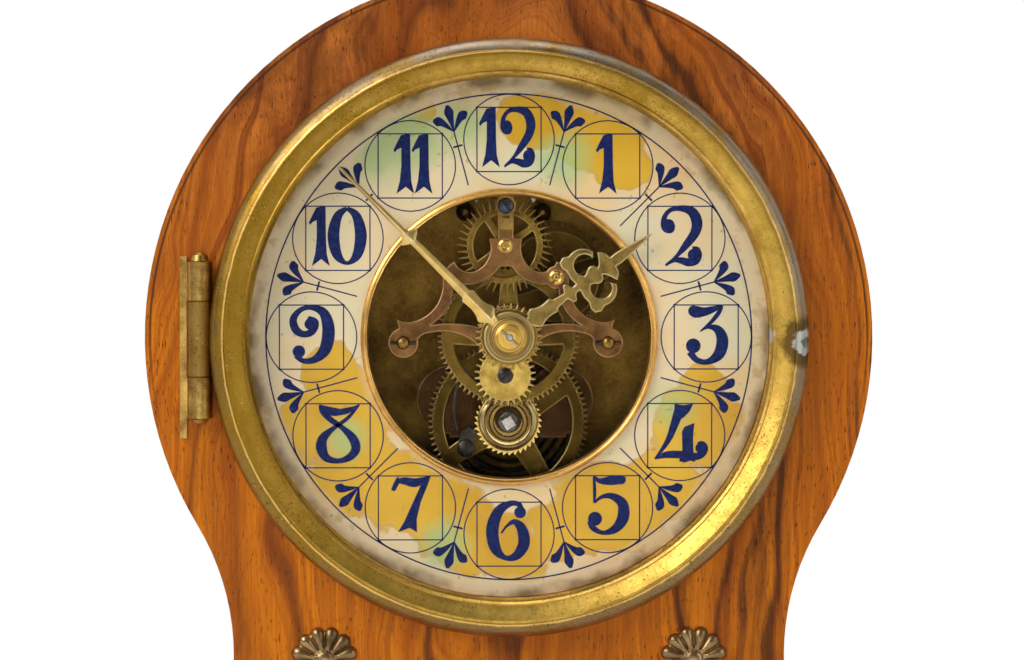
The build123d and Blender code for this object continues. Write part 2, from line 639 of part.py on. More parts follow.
with BuildPart() as front_plate:
    with BuildSketch(facing(PLATE_Y)):
        with BuildSketch(mode=Mode.PRIVATE) as half_plate:
            with BuildLine():
                Polyline((0, 26.6), (4.4, 26.6), (4.4, 26.0))
                ThreePointArc((4.4, 26.0), (4.9, 20.9), (8.4, 17.7))
                ThreePointArc((8.4, 17.7), (11.6, 17.9), (13.9, 20.4))
                ThreePointArc((13.9, 20.4), (16.4, 17.9), (17.1, 14.4))
                ThreePointArc((17.1, 14.4), (19.3, 7.8), (25.0, 4.1))
                ThreePointArc((25.0, 4.1), (27.4, 3.9), (29.6, 4.7))
                Line((29.6, 4.7), (EYE_X + 1.0, EYE_Z + 3.6))
                Line((EYE_X + 1.0, EYE_Z + 3.6), (EYE_X - 3.4, EYE_Z))
                ThreePointArc((EYE_X - 3.4, EYE_Z), (22.6, 0.4), (20.2, 1.1))
                ThreePointArc((20.2, 1.1), (12.9, 0.8), (6.4, -3.6))
                Line((6.4, -3.6), (6.4, 2.2))
                ThreePointArc((6.4, 2.2), (13.4, 3.5), (20.7, 3.0))
                ThreePointArc((20.7, 3.0), (16.0, 7.3), (14.4, 12.2))
                ThreePointArc((14.4, 12.2), (13.9, 13.7), (12.4, 14.3))
                ThreePointArc((12.4, 14.3), (6.6, 14.8), (1.6, 19.0))
                Polyline((1.6, 19.0), (0, 19.0), (0, 26.6))
            make_face()
        with Locations((PLATE_X, 0)):
            add(half_plate.sketch)
            add(half_plate.sketch.mirror(Plane.YZ))
            with Locations((EYE_X, EYE_Z), (-EYE_X, EYE_Z)):
                Circle(EYE_R)
            with Locations((0, (ANCHOR_Z + 22) / 2)):
                Rectangle(2 * NECK_HALF, ANCHOR_Z - 22)
        Circle(PLATE_HUB_R)
        with Locations((PLATE_X, ANCHOR_Z + 1)):
            SlotCenterToCenter(2 * TOP_PILLAR_X, 7.0)
        with Locations((MINUTE_X, MINUTE_Z)):
            Circle(3.2)
        with Locations((MINUTE_X / 2, MINUTE_Z / 2)):
            Rectangle(6, abs(MINUTE_Z))
        with Locations((THIRD_X, THIRD_Z)):
            Circle(3.1)
        for hole_x, hole_z, hole_r in (
            (0, 0, ARBOR_R + PIVOT_PLAY), (THIRD_X, THIRD_Z, 1.85), (ESCAPE_X, ESCAPE_Z, 1.77),
            (ANCHOR_X, ANCHOR_Z, PIVOT_R + PIVOT_PLAY),
        ):
            with Locations((hole_x, hole_z)):
                Circle(hole_r, mode=Mode.SUBTRACT)
    extrude(amount=PLATE_T)
front_plate.part.label = "front_plate"

with BuildPart() as pivot_bushes:
    for bush_x, bush_z, bush_r in ((THIRD_X, THIRD_Z, 1.85), (ESCAPE_X, ESCAPE_Z, 1.77)):
        turned(
            [(PIVOT_R + PIVOT_PLAY, PLATE_Y), (bush_r, PLATE_Y), (bush_r, PLATE_FRONT_Y - 0.1),
             (bush_r - 0.45, PLATE_FRONT_Y - 0.35), (bush_r - 0.8, PLATE_FRONT_Y - 0.1),
             (PIVOT_R + 0.25, PLATE_FRONT_Y + 0.35), (PIVOT_R + PIVOT_PLAY, PLATE_FRONT_Y + 0.35)],
            bush_x, bush_z,
        )
pivot_bushes.part.label = "pivot_bushes"

PIN_Y = PLATE_FRONT_Y - 0.7
with BuildPart() as plate_pillars:
    for side in (-1, 1):
        turned(
            [(0, BACKPLATE_FRONT_Y), (3.0, BACKPLATE_FRONT_Y), (3.0, BACKPLATE_FRONT_Y - 1.5),
             (1.9, BACKPLATE_FRONT_Y - 3), (1.9, PLATE_Y + 3), (3.0, PLATE_Y + 1.5), (3.0, PLATE_Y),
             (0, PLATE_Y)],
            PLATE_X + side * EYE_X, EYE_Z,
        )
        turned(
            [(0, PLATE_FRONT_Y), (1.75, PLATE_FRONT_Y), (1.75, PLATE_FRONT_Y - 1.5),
             (1.35, PLATE_FRONT_Y - 2.3), (0.7, PLATE_FRONT_Y - 2.75), (0, PLATE_FRONT_Y - 2.9)],
            PLATE_X + side * EYE_X, EYE_Z,
        )
        pin_centre = (PLATE_X + side * EYE_X, PIN_Y, AXIS_Z + EYE_Z)
        with BuildSketch(Plane(origin=pin_centre, z_dir=(1, 0, 0))) as hole:
            Circle(0.55)
        extrude(hole.sketch, amount=3, both=True, mode=Mode.SUBTRACT)
    # two more behind the dial carry the neck's head
    for side in (-1, 1):
        turned(
            [(0, BACKPLATE_FRONT_Y), (2.6, BACKPLATE_FRONT_Y), (2.6, BACKPLATE_FRONT_Y - 1.5),
             (1.7, BACKPLATE_FRONT_Y - 3), (1.7, PLATE_Y + 3), (2.6, PLATE_Y + 1.5), (2.6, PLATE_Y),
             (0, PLATE_Y)],
            PLATE_X + side * TOP_PILLAR_X, ANCHOR_Z + 1,
        )
plate_pillars.part.label = "plate_pillars"

with BuildPart() as taper_pins:
    for side in (-1, 1):
        pin_centre = (PLATE_X + side * EYE_X, PIN_Y, AXIS_Z + EYE_Z)
        with BuildSketch(Plane(origin=pin_centre, z_dir=(1, 0, 0))) as pin_end:
            Circle(0.5)
        extrude(pin_end.sketch, amount=3.4, both=True)
taper_pins.part.label = "taper_pins"

with BuildPart() as neck_block:
    # the notched block on the neck and the collar under its screw
    with BuildSketch(facing(PLATE_FRONT_Y, PLATE_X)) as block:
        with Locations((0, 31.3)):
            Rectangle(4.3, 4.6)
        with Locations((0, 32.9)):
            Rectangle(2.0, 1.6, mode=Mode.SUBTRACT)
    extrude(block.sketch, amount=1.8)
    turned(
        [(1.2, PLATE_FRONT_Y), (2.75, PLATE_FRONT_Y), (2.75, PLATE_FRONT_Y - 1.2),
         (2.2, PLATE_FRONT_Y - 1.2), (1.2, PLATE_FRONT_Y - 0.5)],
        PLATE_X, NECK_SCREW_Z,
    )
neck_block.part.label = "neck_block"

with BuildPart() as neck_screw:
    head_y = PLATE_FRONT_Y - 0.5
    turned(
        [(0, PLATE_FRONT_Y), (1.15, PLATE_FRONT_Y), (1.15, head_y - 0.05), (2.05, head_y - 0.75),
         (2.05, head_y - 1.3), (1.7, head_y - 1.6), (0, head_y - 1.7)],
        PLATE_X, NECK_SCREW_Z,
    )
    with BuildSketch(facing(head_y - 1.1, PLATE_X, NECK_SCREW_Z)) as slot:
        Rectangle(5, 0.5, rotation=-55)
    extrude(slot.sketch, amount=2, mode=Mode.SUBTRACT)
neck_screw.part.label = "neck_screw"

with BuildPart() as barrel_bridge:
    # the copper-coloured lobed bridge behind the great wheel
    with BuildSketch(facing(BRIDGE_Y)):
        with Locations((-15.6, -17.6), (14.0, -17.8)):
            Circle(9.4)
        with Locations((GREAT_X, GREAT_Z)):
            Rectangle(32, 9)
            Circle(WINDING_R - 0.6 + PIVOT_PLAY, mode=Mode.SUBTRACT)
    extrude(amount=BRIDGE_T)
barrel_bridge.part.label = "barrel_bridge"

SPRING_BACK_Y = BACKPLATE_FRONT_Y - 1.2
with BuildPart() as back_posts:
    for post_x in (-21.4, 20.0):
        turned(
            [(0, BACKPLATE_FRONT_Y), (1.5, BACKPLATE_FRONT_Y), (1.5, BRIDGE_Y), (0, BRIDGE_Y)],
            post_x, -14.6,
        )
    # the two ringed posts above the escape wheel
    for post_x, post_z in ((-11.6, 34.0), (9.8, 33.8)):
        turned(
            [(0, BACKPLATE_FRONT_Y), (2.5, BACKPLATE_FRONT_Y), (2.5, -18.0), (2.0, -18.6), (1.3, -18.0),
             (1.2, -18.8), (0.6, -19.2), (0, -19.2)],
            post_x, post_z,
        )
    # the post that the mainspring's outer end hooks on
    turned(
        [(0, BACKPLATE_FRONT_Y), (1.4, BACKPLATE_FRONT_Y), (1.4, SPRING_BACK_Y - SPRING_W - 1),
         (0, SPRING_BACK_Y - SPRING_W - 1)],
        GREAT_X + SPRING_R + SPRING_T + 1.7, GREAT_Z,
    )
back_posts.part.label = "back_posts"

with BuildPart() as minute_stud:
    # the post that the minute wheel turns on, with its blued slotted screw
    screw_y = HOUR_WHEEL_Y - HOUR_WHEEL_T - 0.3
    turned(
        [(0, PLATE_FRONT_Y), (1.0, PLATE_FRONT_Y), (1.0, screw_y), (2.1, screw_y),
         (2.1, screw_y - 0.9), (1.8, screw_y - 1.1), (0, screw_y - 1.1)],
        MINUTE_X, MINUTE_Z,
    )
    with BuildSketch(facing(screw_y - 0.6, MINUTE_X, MINUTE_Z)) as slot:
        Rectangle(5, 0.5, rotation=30)
    extrude(slot.sketch, amount=2, mode=Mode.SUBTRACT)
minute_stud.part.label = "minute_stud"

# Going train
hand_pin_along = polar(1, HAND_PIN_ANGLE)
hand_pin_plane = Plane(
    origin=(0, WASHER_FRONT_Y - HAND_PIN_R - 0.07, AXIS_Z), z_dir=(hand_pin_along[0], 0, hand_pin_along[1])
)
centre_phase = meshed(0, GREAT_TEETH, 90, CENTRE_PINION)
third_phase = meshed(0, CENTRE_TEETH, THIRD_ANGLE, THIRD_PINION)
escape_phase = meshed(0, THIRD_TEETH, ESCAPE_ANGLE, ESCAPE_PINION)
with BuildPart() as great_wheel:
    wheel(
        GREAT_Y, GREAT_T, GREAT_X, GREAT_Z, toothed(GREAT_TEETH, GREAT_MODULE, 0),
        17.6, 7.0, WINDING_R + PIVOT_PLAY, 4, 32.0, 7.6, 5.0,
    )
great_wheel.part.label = "great_wheel"

with BuildPart() as centre_wheel:
    wheel(
        CENTRE_Y, WHEEL_T, 0, 0, toothed(CENTRE_TEETH, CENTRE_MODULE, 0),
        15.2, 4.0, ARBOR_R, 4, 0.0, 6.4, 4.4,
    )
centre_wheel.part.label = "centre_wheel"

with BuildPart() as centre_arbor:
    turned(
        [(0, BACKPLATE_Y + 0.8), (BACK_PIVOT_R, BACKPLATE_Y + 0.8), (BACK_PIVOT_R, BACKPLATE_FRONT_Y - 0.3),
         (ARBOR_R, BACKPLATE_FRONT_Y - 0.3), (ARBOR_R, ARBOR_TIP_Y + 0.2), (ARBOR_R - 0.2, ARBOR_TIP_Y),
         (0, ARBOR_TIP_Y)],
    )
    with BuildSketch(hand_pin_plane) as hole:
        Circle(HAND_PIN_R)
    extrude(hole.sketch, amount=2, both=True, mode=Mode.SUBTRACT)
    pinion(GREAT_Y + 0.4, GREAT_T + 0.8, 0, 0, CENTRE_PINION, GREAT_MODULE, centre_phase)
centre_arbor.part.label = "centre_arbor"

with BuildPart() as third_wheel:
    wheel(
        THIRD_Y, WHEEL_T, THIRD_X, THIRD_Z, toothed(THIRD_TEETH, THIRD_MODULE, 0),
        12.2, 3.2, ARBOR_R, 4, 20.0, 4.6, 3.0,
    )
third_wheel.part.label = "third_wheel"


def train_arbor(x, z):
    """A steel arbor with a pivot at each end."""
    turned(
        [(0, BACKPLATE_Y + 0.8), (BACK_PIVOT_R, BACKPLATE_Y + 0.8), (BACK_PIVOT_R, BACKPLATE_FRONT_Y - 0.3),
         (ARBOR_R, BACKPLATE_FRONT_Y - 0.3), (ARBOR_R, PLATE_Y + 0.3), (PIVOT_R, PLATE_Y + 0.3),
         (PIVOT_R, PLATE_FRONT_Y + 0.2), (0, PLATE_FRONT_Y + 0.1)],
        x, z,
    )


with BuildPart() as third_arbor:
    train_arbor(THIRD_X, THIRD_Z)
    pinion(CENTRE_Y + 0.4, WHEEL_T + 0.8, THIRD_X, THIRD_Z, THIRD_PINION, CENTRE_MODULE, third_phase)
third_arbor.part.label = "third_arbor"

with BuildPart() as escape_wheel:
    escape_pitch = 360 / ESCAPE_TEETH
    escape_outline = []
    for k in range(ESCAPE_TEETH):
        lead = k * escape_pitch
        escape_outline.append(polar(ESCAPE_R - ESCAPE_TOOTH, lead - 0.20 * escape_pitch))
        escape_outline.append(polar(ESCAPE_R, lead - 0.27 * escape_pitch))
        escape_outline.append(polar(ESCAPE_R, lead - 0.16 * escape_pitch))
        escape_outline.append(polar(ESCAPE_R - ESCAPE_TOOTH, lead + 0.22 * escape_pitch))
    wheel(
        ESCAPE_Y, WHEEL_T - 0.2, ESCAPE_X, ESCAPE_Z, escape_outline,
        8.6, 3.0, ARBOR_R, 4, 34.0, 2.4, 1.7,
    )
escape_wheel.part.label = "escape_wheel"

with BuildPart() as escape_arbor:
    train_arbor(ESCAPE_X, ESCAPE_Z)
    pinion(THIRD_Y + 0.4, WHEEL_T + 0.8, ESCAPE_X, ESCAPE_Z, ESCAPE_PINION, THIRD_MODULE, escape_phase)
escape_arbor.part.label = "escape_arbor"

# Winding work on the great wheel
with BuildPart() as ratchet_wheel:
    ratchet_pitch = 360 / RATCHET_TEETH
    ratchet_outline = []
    for k in range(RATCHET_TEETH):
        lead = k * ratchet_pitch
        ratchet_outline.append(polar(RATCHET_R - RATCHET_TOOTH, lead))
        ratchet_outline.append(polar(RATCHET_R, lead + 0.08 * ratchet_pitch))
        ratchet_outline.append(polar(RATCHET_R - 0.15, lead + 0.28 * ratchet_pitch))
    with BuildSketch(facing(RATCHET_Y, GREAT_X, GREAT_Z)) as saw:
        Polygon(*ratchet_outline, align=None)
        Circle(WINDING_R, mode=Mode.SUBTRACT)
    extrude(saw.sketch, amount=WHEEL_T)
    collar_y = RATCHET_Y - WHEEL_T
    turned(
        [(WINDING_R, collar_y), (8.0, collar_y), (7.8, collar_y - 0.6), (7.2, collar_y - 0.8),
         (6.6, collar_y - 0.6), (6.3, collar_y - 0.2), (5.4, collar_y - 0.2), (5.0, collar_y - 0.7),
         (4.2, collar_y - 0.7), (3.9, collar_y - 0.1), (WINDING_R, collar_y - 0.1)],
        GREAT_X, GREAT_Z,
    )
ratchet_wheel.part.label = "ratchet_wheel"

with BuildPart() as winding_arbor:
    turned(
        [(0, BACKPLATE_Y + 0.8), (WINDING_R - 0.8, BACKPLATE_Y + 0.8),
         (WINDING_R - 0.8, BACKPLATE_FRONT_Y - 0.3), (SPRING_CORE_R - 0.4, BACKPLATE_FRONT_Y - 0.3),
         (SPRING_CORE_R - 0.4, BRIDGE_Y + 0.3), (WINDING_R - 0.6, BRIDGE_Y + 0.3),
         (WINDING_R - 0.6, BRIDGE_Y - BRIDGE_T - 0.4), (WINDING_R, BRIDGE_Y - BRIDGE_T - 0.4),
         (WINDING_R, RATCHET_Y - WHEEL_T), (0, RATCHET_Y - WHEEL_T)],
        GREAT_X, GREAT_Z,
    )
    with BuildSketch(facing(RATCHET_Y - WHEEL_T, GREAT_X, GREAT_Z)) as square:
        Rectangle(SQUARE, SQUARE, rotation=SQUARE_ANGLE)
    extrude(square.sketch, amount=RATCHET_Y - WHEEL_T - SQUARE_TIP_Y)
    chamfer(winding_arbor.faces().sort_by(Axis.Y)[0].edges(), 0.3)
winding_arbor.part.label = "winding_arbor"

CLICK_Y = GREAT_Y - GREAT_T - SEAT_GAP
NOSE_ANGLE = 196.0
with BuildPart() as click:
    nose = polar(RATCHET_R + CLICK_GAP, NOSE_ANGLE)
    nose_back = polar(RATCHET_R + CLICK_GAP + 1.6, NOSE_ANGLE - 9)
    with BuildSketch(facing(CLICK_Y, GREAT_X, GREAT_Z)):
        with Locations((CLICK_X, CLICK_Z)):
            Circle(2.5)
        Polygon(
            (CLICK_X + 2.0, CLICK_Z - 1.4), (CLICK_X + 2.1, CLICK_Z + 1.3), nose, nose_back,
            (CLICK_X - 1.3, CLICK_Z + 4.4), (CLICK_X - 2.4, CLICK_Z + 0.6), align=None,
        )
        with Locations((CLICK_X, CLICK_Z)):
            Circle(1.1 + PIVOT_PLAY, mode=Mode.SUBTRACT)
    extrude(amount=1.4)
click.part.label = "click"

with BuildPart() as click_screw:
    turned(
        [(0, GREAT_Y - GREAT_T), (1.1, GREAT_Y - GREAT_T), (1.1, CLICK_Y - 1.7), (2.45, CLICK_Y - 1.7),
         (2.45, CLICK_Y - 2.5), (2.1, CLICK_Y - 2.8), (0, CLICK_Y - 2.8)],
        GREAT_X + CLICK_X, GREAT_Z + CLICK_Z,
    )
click_screw.part.label = "click_screw"

with BuildPart() as click_spring:
    # a bent blue strip, held at the rim and bearing on the click's tail
    strip_y = GREAT_Y - GREAT_T
    with BuildSketch(facing(strip_y, GREAT_X, GREAT_Z)):
        with BuildLine():
            ThreePointArc((-12.4, 12.8), (-14.5, 4.9), (-13.6, -2.6))
            Line((-13.6, -2.6), (-14.1, -2.5))
            ThreePointArc((-14.1, -2.5), (-15.1, 4.9), (-12.9, 13.2))
            Line((-12.9, 13.2), (-12.4, 12.8))
        make_face()
        with Locations((-12.4, 13.6)):
            Circle(1.3)
    extrude(amount=1.7)
click_spring.part.label = "click_spring"

# The mainspring: an open spiral ribbon between the bridge and the back plate, one unbroken strip
spring_pitch = (SPRING_R - SPRING_CORE_R) / SPRING_TURNS
quarters = range(4 * SPRING_TURNS)


def on_spring(quarter, side):
    """A point on the spiral after so many quarter turns, on its inner or outer side."""
    return polar(SPRING_CORE_R + side + spring_pitch * quarter / 4, 90 * quarter)


with BuildPart() as mainspring:
    with BuildSketch(facing(SPRING_BACK_Y, GREAT_X, GREAT_Z)):
        with BuildLine():
            for k in quarters:
                for side in (0, SPRING_T):
                    ThreePointArc(on_spring(k, side), on_spring(k + 0.5, side), on_spring(k + 1, side))
            for end in (0, len(quarters)):
                Line(on_spring(end, 0), on_spring(end, SPRING_T))
        make_face()
    extrude(amount=SPRING_W)
mainspring.part.label = "mainspring"

# Motion work and hands
minute_wheel_phase = meshed(0, CANNON_TEETH, MINUTE_ANGLE, MINUTE_TEETH)
hour_phase = meshed(0, HOUR_PINION, MINUTE_ANGLE + 180, HOUR_TEETH)
with BuildPart() as cannon_pinion:
    rod(CANNON_R, MOTION_BACK_Y, MINUTE_BOSS_FRONT_Y)
    pinion(MINUTE_Y + 0.2, MINUTE_T + 0.3, 0, 0, CANNON_TEETH, MINUTE_MODULE, 0)
    rod(ARBOR_R + PIVOT_PLAY, MOTION_BACK_Y + 1, MINUTE_BOSS_FRONT_Y - 1, mode=Mode.SUBTRACT)
cannon_pinion.part.label = "cannon_pinion"

with BuildPart() as minute_wheel:
    with BuildSketch(facing(MINUTE_Y, MINUTE_X, MINUTE_Z)) as face:
        Polygon(*toothed(MINUTE_TEETH, MINUTE_MODULE, minute_wheel_phase), align=None)
    extrude(face.sketch, amount=MINUTE_T)
    pinion(
        MINUTE_Y - MINUTE_T, MINUTE_Y - MINUTE_T - HOUR_WHEEL_Y + HOUR_WHEEL_T, MINUTE_X, MINUTE_Z,
        HOUR_PINION, HOUR_MODULE, 0,
    )
    rod(1.0 + PIVOT_PLAY, MINUTE_Y + 1, HOUR_WHEEL_Y - 3, MINUTE_X, MINUTE_Z, mode=Mode.SUBTRACT)
minute_wheel.part.label = "minute_wheel"

with BuildPart() as hour_wheel:
    with BuildSketch(facing(HOUR_WHEEL_Y)) as face:
        Polygon(*toothed(HOUR_TEETH, HOUR_MODULE, hour_phase), align=None)
    extrude(face.sketch, amount=HOUR_WHEEL_T)
    rod(HOUR_PIPE_R, HOUR_WHEEL_Y, HOUR_BOSS_FRONT_Y)
    rod(CANNON_R + PIVOT_PLAY, HOUR_WHEEL_Y + 1, HOUR_BOSS_FRONT_Y - 1, mode=Mode.SUBTRACT)
hour_wheel.part.label = "hour_wheel"


def hand_plane(y, angle):
    """A plane at Y whose X runs out along a hand."""
    along = polar(1, angle)
    return Plane(origin=(0, y, AXIS_Z), x_dir=(along[0], 0, along[1]), z_dir=(0, -1, 0))


with BuildPart() as hour_hand:
    with BuildSketch(hand_plane(HOUR_HAND_Y, HOUR_HAND_ANGLE)) as outline:
        with BuildLine():
            Polyline((0, 0), (0, 1.3), (7.0, 1.3))
            ThreePointArc((7.0, 1.3), (8.0, 2.5), (9.2, 2.9))
            ThreePointArc((9.2, 2.9), (11.8, 1.95), (14.6, 2.1))
            Polyline((14.6, 2.1), (15.3, 1.35), (19.0, 0.9), (23.4, 0.9), (34.0, 1.1))
            ThreePointArc((34.0, 1.1), (38.5, 1.45), (HOUR_LENGTH, 0.0))
            Line((HOUR_LENGTH, 0.0), (0, 0))
        make_face()
        # the cross knob and the middle knob
        with Locations((20.1, 0)):
            Ellipse(1.25, 2.8)
        with Locations((28.9, 0)):
            Ellipse(1.6, 2.6)
        # the upper crescent, its tail and the upper bat wing
        with Locations((27.5, 4.0)):
            Circle(4.55)
        with Locations((28.0, 3.9)):
            Circle(3.1, mode=Mode.SUBTRACT)
        Polygon((29.9, 3.0), (33.5, 4.2), (33.5, 1.2), (29.9, 1.2), align=None, mode=Mode.SUBTRACT)
        Polygon((23.6, 5.4), (22.5, 8.4), (25.4, 9.2), (26.8, 8.2), (25.4, 6.8), align=None)
        with Locations((28.9, 0)):
            Ellipse(1.6, 2.6)
        with Locations((17.2, 0)):
            Rectangle(34.4, 1.8)
        with BuildLine():
            Line((30.0, 0), (30.3, 0.9))
            ThreePointArc((30.3, 0.9), (31.8, 2.0), (32.7, 4.6))
            ThreePointArc((32.7, 4.6), (34.1, 3.5), (34.5, 1.4))
            Polyline((34.5, 1.4), (34.5, 0), (30.0, 0))
        make_face()
        mirror(about=Plane.XZ)
    extrude(outline.sketch, amount=HAND_T)
    turned(
        [(0, HOUR_HAND_Y + 0.3), (HOUR_BOSS_R, HOUR_HAND_Y + 0.3), (HOUR_BOSS_R, HOUR_HAND_Y - HAND_T),
         (HOUR_BOSS_R - 0.5, HOUR_BOSS_FRONT_Y), (0, HOUR_BOSS_FRONT_Y)],
    )
    rod(HOUR_PIPE_R, HOUR_HAND_Y + 2, HOUR_BOSS_FRONT_Y - 1, mode=Mode.SUBTRACT)
hour_hand.part.label = "hour_hand"

with BuildPart() as minute_hand:
    with BuildSketch(hand_plane(MINUTE_HAND_Y, MINUTE_HAND_ANGLE)) as outline:
        with BuildLine():
            Polyline((0, 0), (0, 1.2), (6.6, 1.25), (8.4, 2.75), (9.0, 2.9))
            ThreePointArc((9.0, 2.9), (12.6, 1.9), (15.9, 2.15))
            Polyline((15.9, 2.15), (16.5, 1.35), (36.4, 1.05), (38.0, 3.1))
            Polyline((38.0, 3.1), (39.6, 1.2), (40.4, 0.85))
            Polyline((40.4, 0.85), (MINUTE_LENGTH - 0.4, 0.45), (MINUTE_LENGTH, 0))
            Line((MINUTE_LENGTH, 0), (0, 0))
        make_face()
        mirror(about=Plane.XZ)
    extrude(outline.sketch, amount=HAND_T)
    turned(
        [(0, MINUTE_HAND_Y), (MINUTE_BOSS_R, MINUTE_HAND_Y), (MINUTE_BOSS_R, MINUTE_BOSS_FRONT_Y + 0.4),
         (MINUTE_BOSS_R - 0.5, MINUTE_BOSS_FRONT_Y), (MINUTE_BOSS_R - 1.2, MINUTE_BOSS_FRONT_Y),
         (MINUTE_BOSS_R - 1.5, MINUTE_BOSS_FRONT_Y + 0.4), (0, MINUTE_BOSS_FRONT_Y + 0.4)],
    )
    rod(CANNON_R, MINUTE_HAND_Y + 1, MINUTE_BOSS_FRONT_Y - 1, mode=Mode.SUBTRACT)
minute_hand.part.label = "minute_hand"

with BuildPart() as hand_collet:
    # the domed washer that the pin holds against the minute hand
    washer_r = ARBOR_R + PIVOT_PLAY
    turned(
        [(washer_r, MINUTE_BOSS_FRONT_Y), (3.8, MINUTE_BOSS_FRONT_Y), (3.8, MINUTE_BOSS_FRONT_Y - 0.2),
         (3.1, MINUTE_BOSS_FRONT_Y - 0.55), (1.8, WASHER_FRONT_Y), (washer_r, WASHER_FRONT_Y)],
    )
hand_collet.part.label = "hand_collet"

with BuildPart() as hand_pin:
    with BuildSketch(hand_pin_plane) as pin_end:
        Circle(HAND_PIN_R)
    extrude(pin_end.sketch, amount=HAND_PIN_HALF, both=True)
hand_pin.part.label = "hand_pin"

# Escapement and pendulum
PIVOT_BACK_Y = 13.0
with BuildPart() as anchor:
    with BuildSketch(facing(ESCAPE_Y, ANCHOR_X, ANCHOR_Z)):
        Circle(2.6)
        for side in (-1, 1):
            with BuildLine():
                ThreePointArc((0, 2.4), (side * 6.6, 0.6), (side * PALLET_X, PALLET_Z + 0.9))
                Line((side * PALLET_X, PALLET_Z + 0.9), (side * (PALLET_X - 0.7), PALLET_Z))
                Line((side * (PALLET_X - 0.7), PALLET_Z), (side * (PALLET_X - 1.5), PALLET_Z + 1.6))
                ThreePointArc((side * (PALLET_X - 1.5), PALLET_Z + 1.6), (side * 4.8, -1.8), (0, -2.4))
                Line((0, -2.4), (0, 2.4))
            make_face()
        Circle(ARBOR_R, mode=Mode.SUBTRACT)
    extrude(amount=1.2)
anchor.part.label = "anchor"

with BuildPart() as anchor_arbor:
    turned(
        [(0, PIVOT_BACK_Y + 2.2), (BACK_PIVOT_R, PIVOT_BACK_Y + 2.2), (BACK_PIVOT_R, PIVOT_BACK_Y - 0.3),
         (ARBOR_R, PIVOT_BACK_Y - 0.3), (ARBOR_R, BACKPLATE_Y + 0.3), (BACK_PIVOT_R, BACKPLATE_Y + 0.3),
         (BACK_PIVOT_R, BACKPLATE_FRONT_Y - 0.3), (ARBOR_R, BACKPLATE_FRONT_Y - 0.3),
         (ARBOR_R, PLATE_Y + 0.3), (PIVOT_R, PLATE_Y + 0.3), (PIVOT_R, PLATE_FRONT_Y + 0.2),
         (0, PLATE_FRONT_Y + 0.1)],
        ANCHOR_X, ANCHOR_Z,
    )
anchor_arbor.part.label = "anchor_arbor"

CRUTCH_L = 44.0
with BuildPart() as crutch:
    with BuildSketch(facing(4.0, ANCHOR_X, ANCHOR_Z)):
        Circle(2.4)
        with Locations((0, -CRUTCH_L / 2)):
            Rectangle(1.6, CRUTCH_L)
        Circle(ARBOR_R, mode=Mode.SUBTRACT)
    extrude(amount=1.6)
    with BuildSketch(Plane(origin=(ANCHOR_X, 2.4, AXIS_Z + ANCHOR_Z - CRUTCH_L))) as arm:
        with Locations((0, (PENDULUM_Y - 2.4 - 1.5) / 2)):
            Rectangle(5.6, PENDULUM_Y - 2.4 - 1.5)
        with Locations((2.15, PENDULUM_Y - 2.4), (-2.15, PENDULUM_Y - 2.4)):
            Rectangle(1.3, 6)
    extrude(arm.sketch, amount=1.6)
crutch.part.label = "crutch"

with BuildPart() as suspension_cock:
    # bolted to the back plate, it carries the anchor's back pivot and the pendulum's spring
    with BuildSketch(facing(BACKPLATE_Y + 3, ANCHOR_X, ANCHOR_Z)) as foot:
        with Locations((0, 11.2)):
            Rectangle(14, 7)
    extrude(foot.sketch, amount=3)
    with BuildSketch(Plane(origin=(ANCHOR_X, 0, AXIS_Z + ANCHOR_Z + 10.2))) as arm:
        with Locations((0, (PENDULUM_Y + 4 + BACKPLATE_Y) / 2)):
            Rectangle(8, PENDULUM_Y + 4 - BACKPLATE_Y)
    extrude(arm.sketch, amount=4)
    with BuildSketch(facing(PIVOT_BACK_Y + 2, ANCHOR_X, ANCHOR_Z)) as cheek:
        with Locations((0, 3.6)):
            Rectangle(8, 14)
        Circle(BACK_PIVOT_R + PIVOT_PLAY, mode=Mode.SUBTRACT)
    extrude(cheek.sketch, amount=2)
    with BuildSketch(facing(PENDULUM_Y + 3, ANCHOR_X, ANCHOR_Z)) as clamp:
        with Locations((0, 8.3)):
            Rectangle(7, 5)
    extrude(clamp.sketch, amount=6)
    with BuildSketch(facing(PENDULUM_Y + SUSPENSION_W / 2 + 0.1, ANCHOR_X, ANCHOR_Z)) as slit:
        with Locations((0, 7.3)):
            Rectangle(SUSPENSION_T + 0.1, 3.2)
    extrude(slit.sketch, amount=SUSPENSION_W + 0.2, mode=Mode.SUBTRACT)
suspension_cock.part.label = "suspension_cock"

with BuildPart() as suspension_spring:
    with BuildSketch(facing(PENDULUM_Y + SUSPENSION_W / 2, ANCHOR_X, ANCHOR_Z)):
        with Locations((0, 1.2)):
            Rectangle(SUSPENSION_T, SUSPENSION_L + 2.4)
    extrude(amount=SUSPENSION_W)
suspension_spring.part.label = "suspension_spring"

BOB_Z = ANCHOR_Z - PENDULUM_LENGTH
with BuildPart() as pendulum_rod:
    rod_top = ANCHOR_Z - SUSPENSION_L / 2
    rod_low = BOB_Z - BOB_R - 14
    with BuildSketch(Plane(origin=(ANCHOR_X, PENDULUM_Y, AXIS_Z + rod_low))) as bar:
        Circle(ROD_R)
    extrude(bar.sketch, amount=rod_top - rod_low - 5)
    # the top block that grips the suspension spring
    with BuildSketch(facing(PENDULUM_Y + 3, ANCHOR_X, rod_top)) as block:
        with Locations((0, -2.5)):
            Rectangle(5, 6)
    extrude(block.sketch, amount=6)
    with BuildSketch(facing(PENDULUM_Y + SUSPENSION_W / 2 + 0.1, ANCHOR_X, rod_top)) as slit:
        with Locations((0, 0.5)):
            Rectangle(SUSPENSION_T + 0.1, 2.2)
    extrude(slit.sketch, amount=SUSPENSION_W + 0.2, mode=Mode.SUBTRACT)
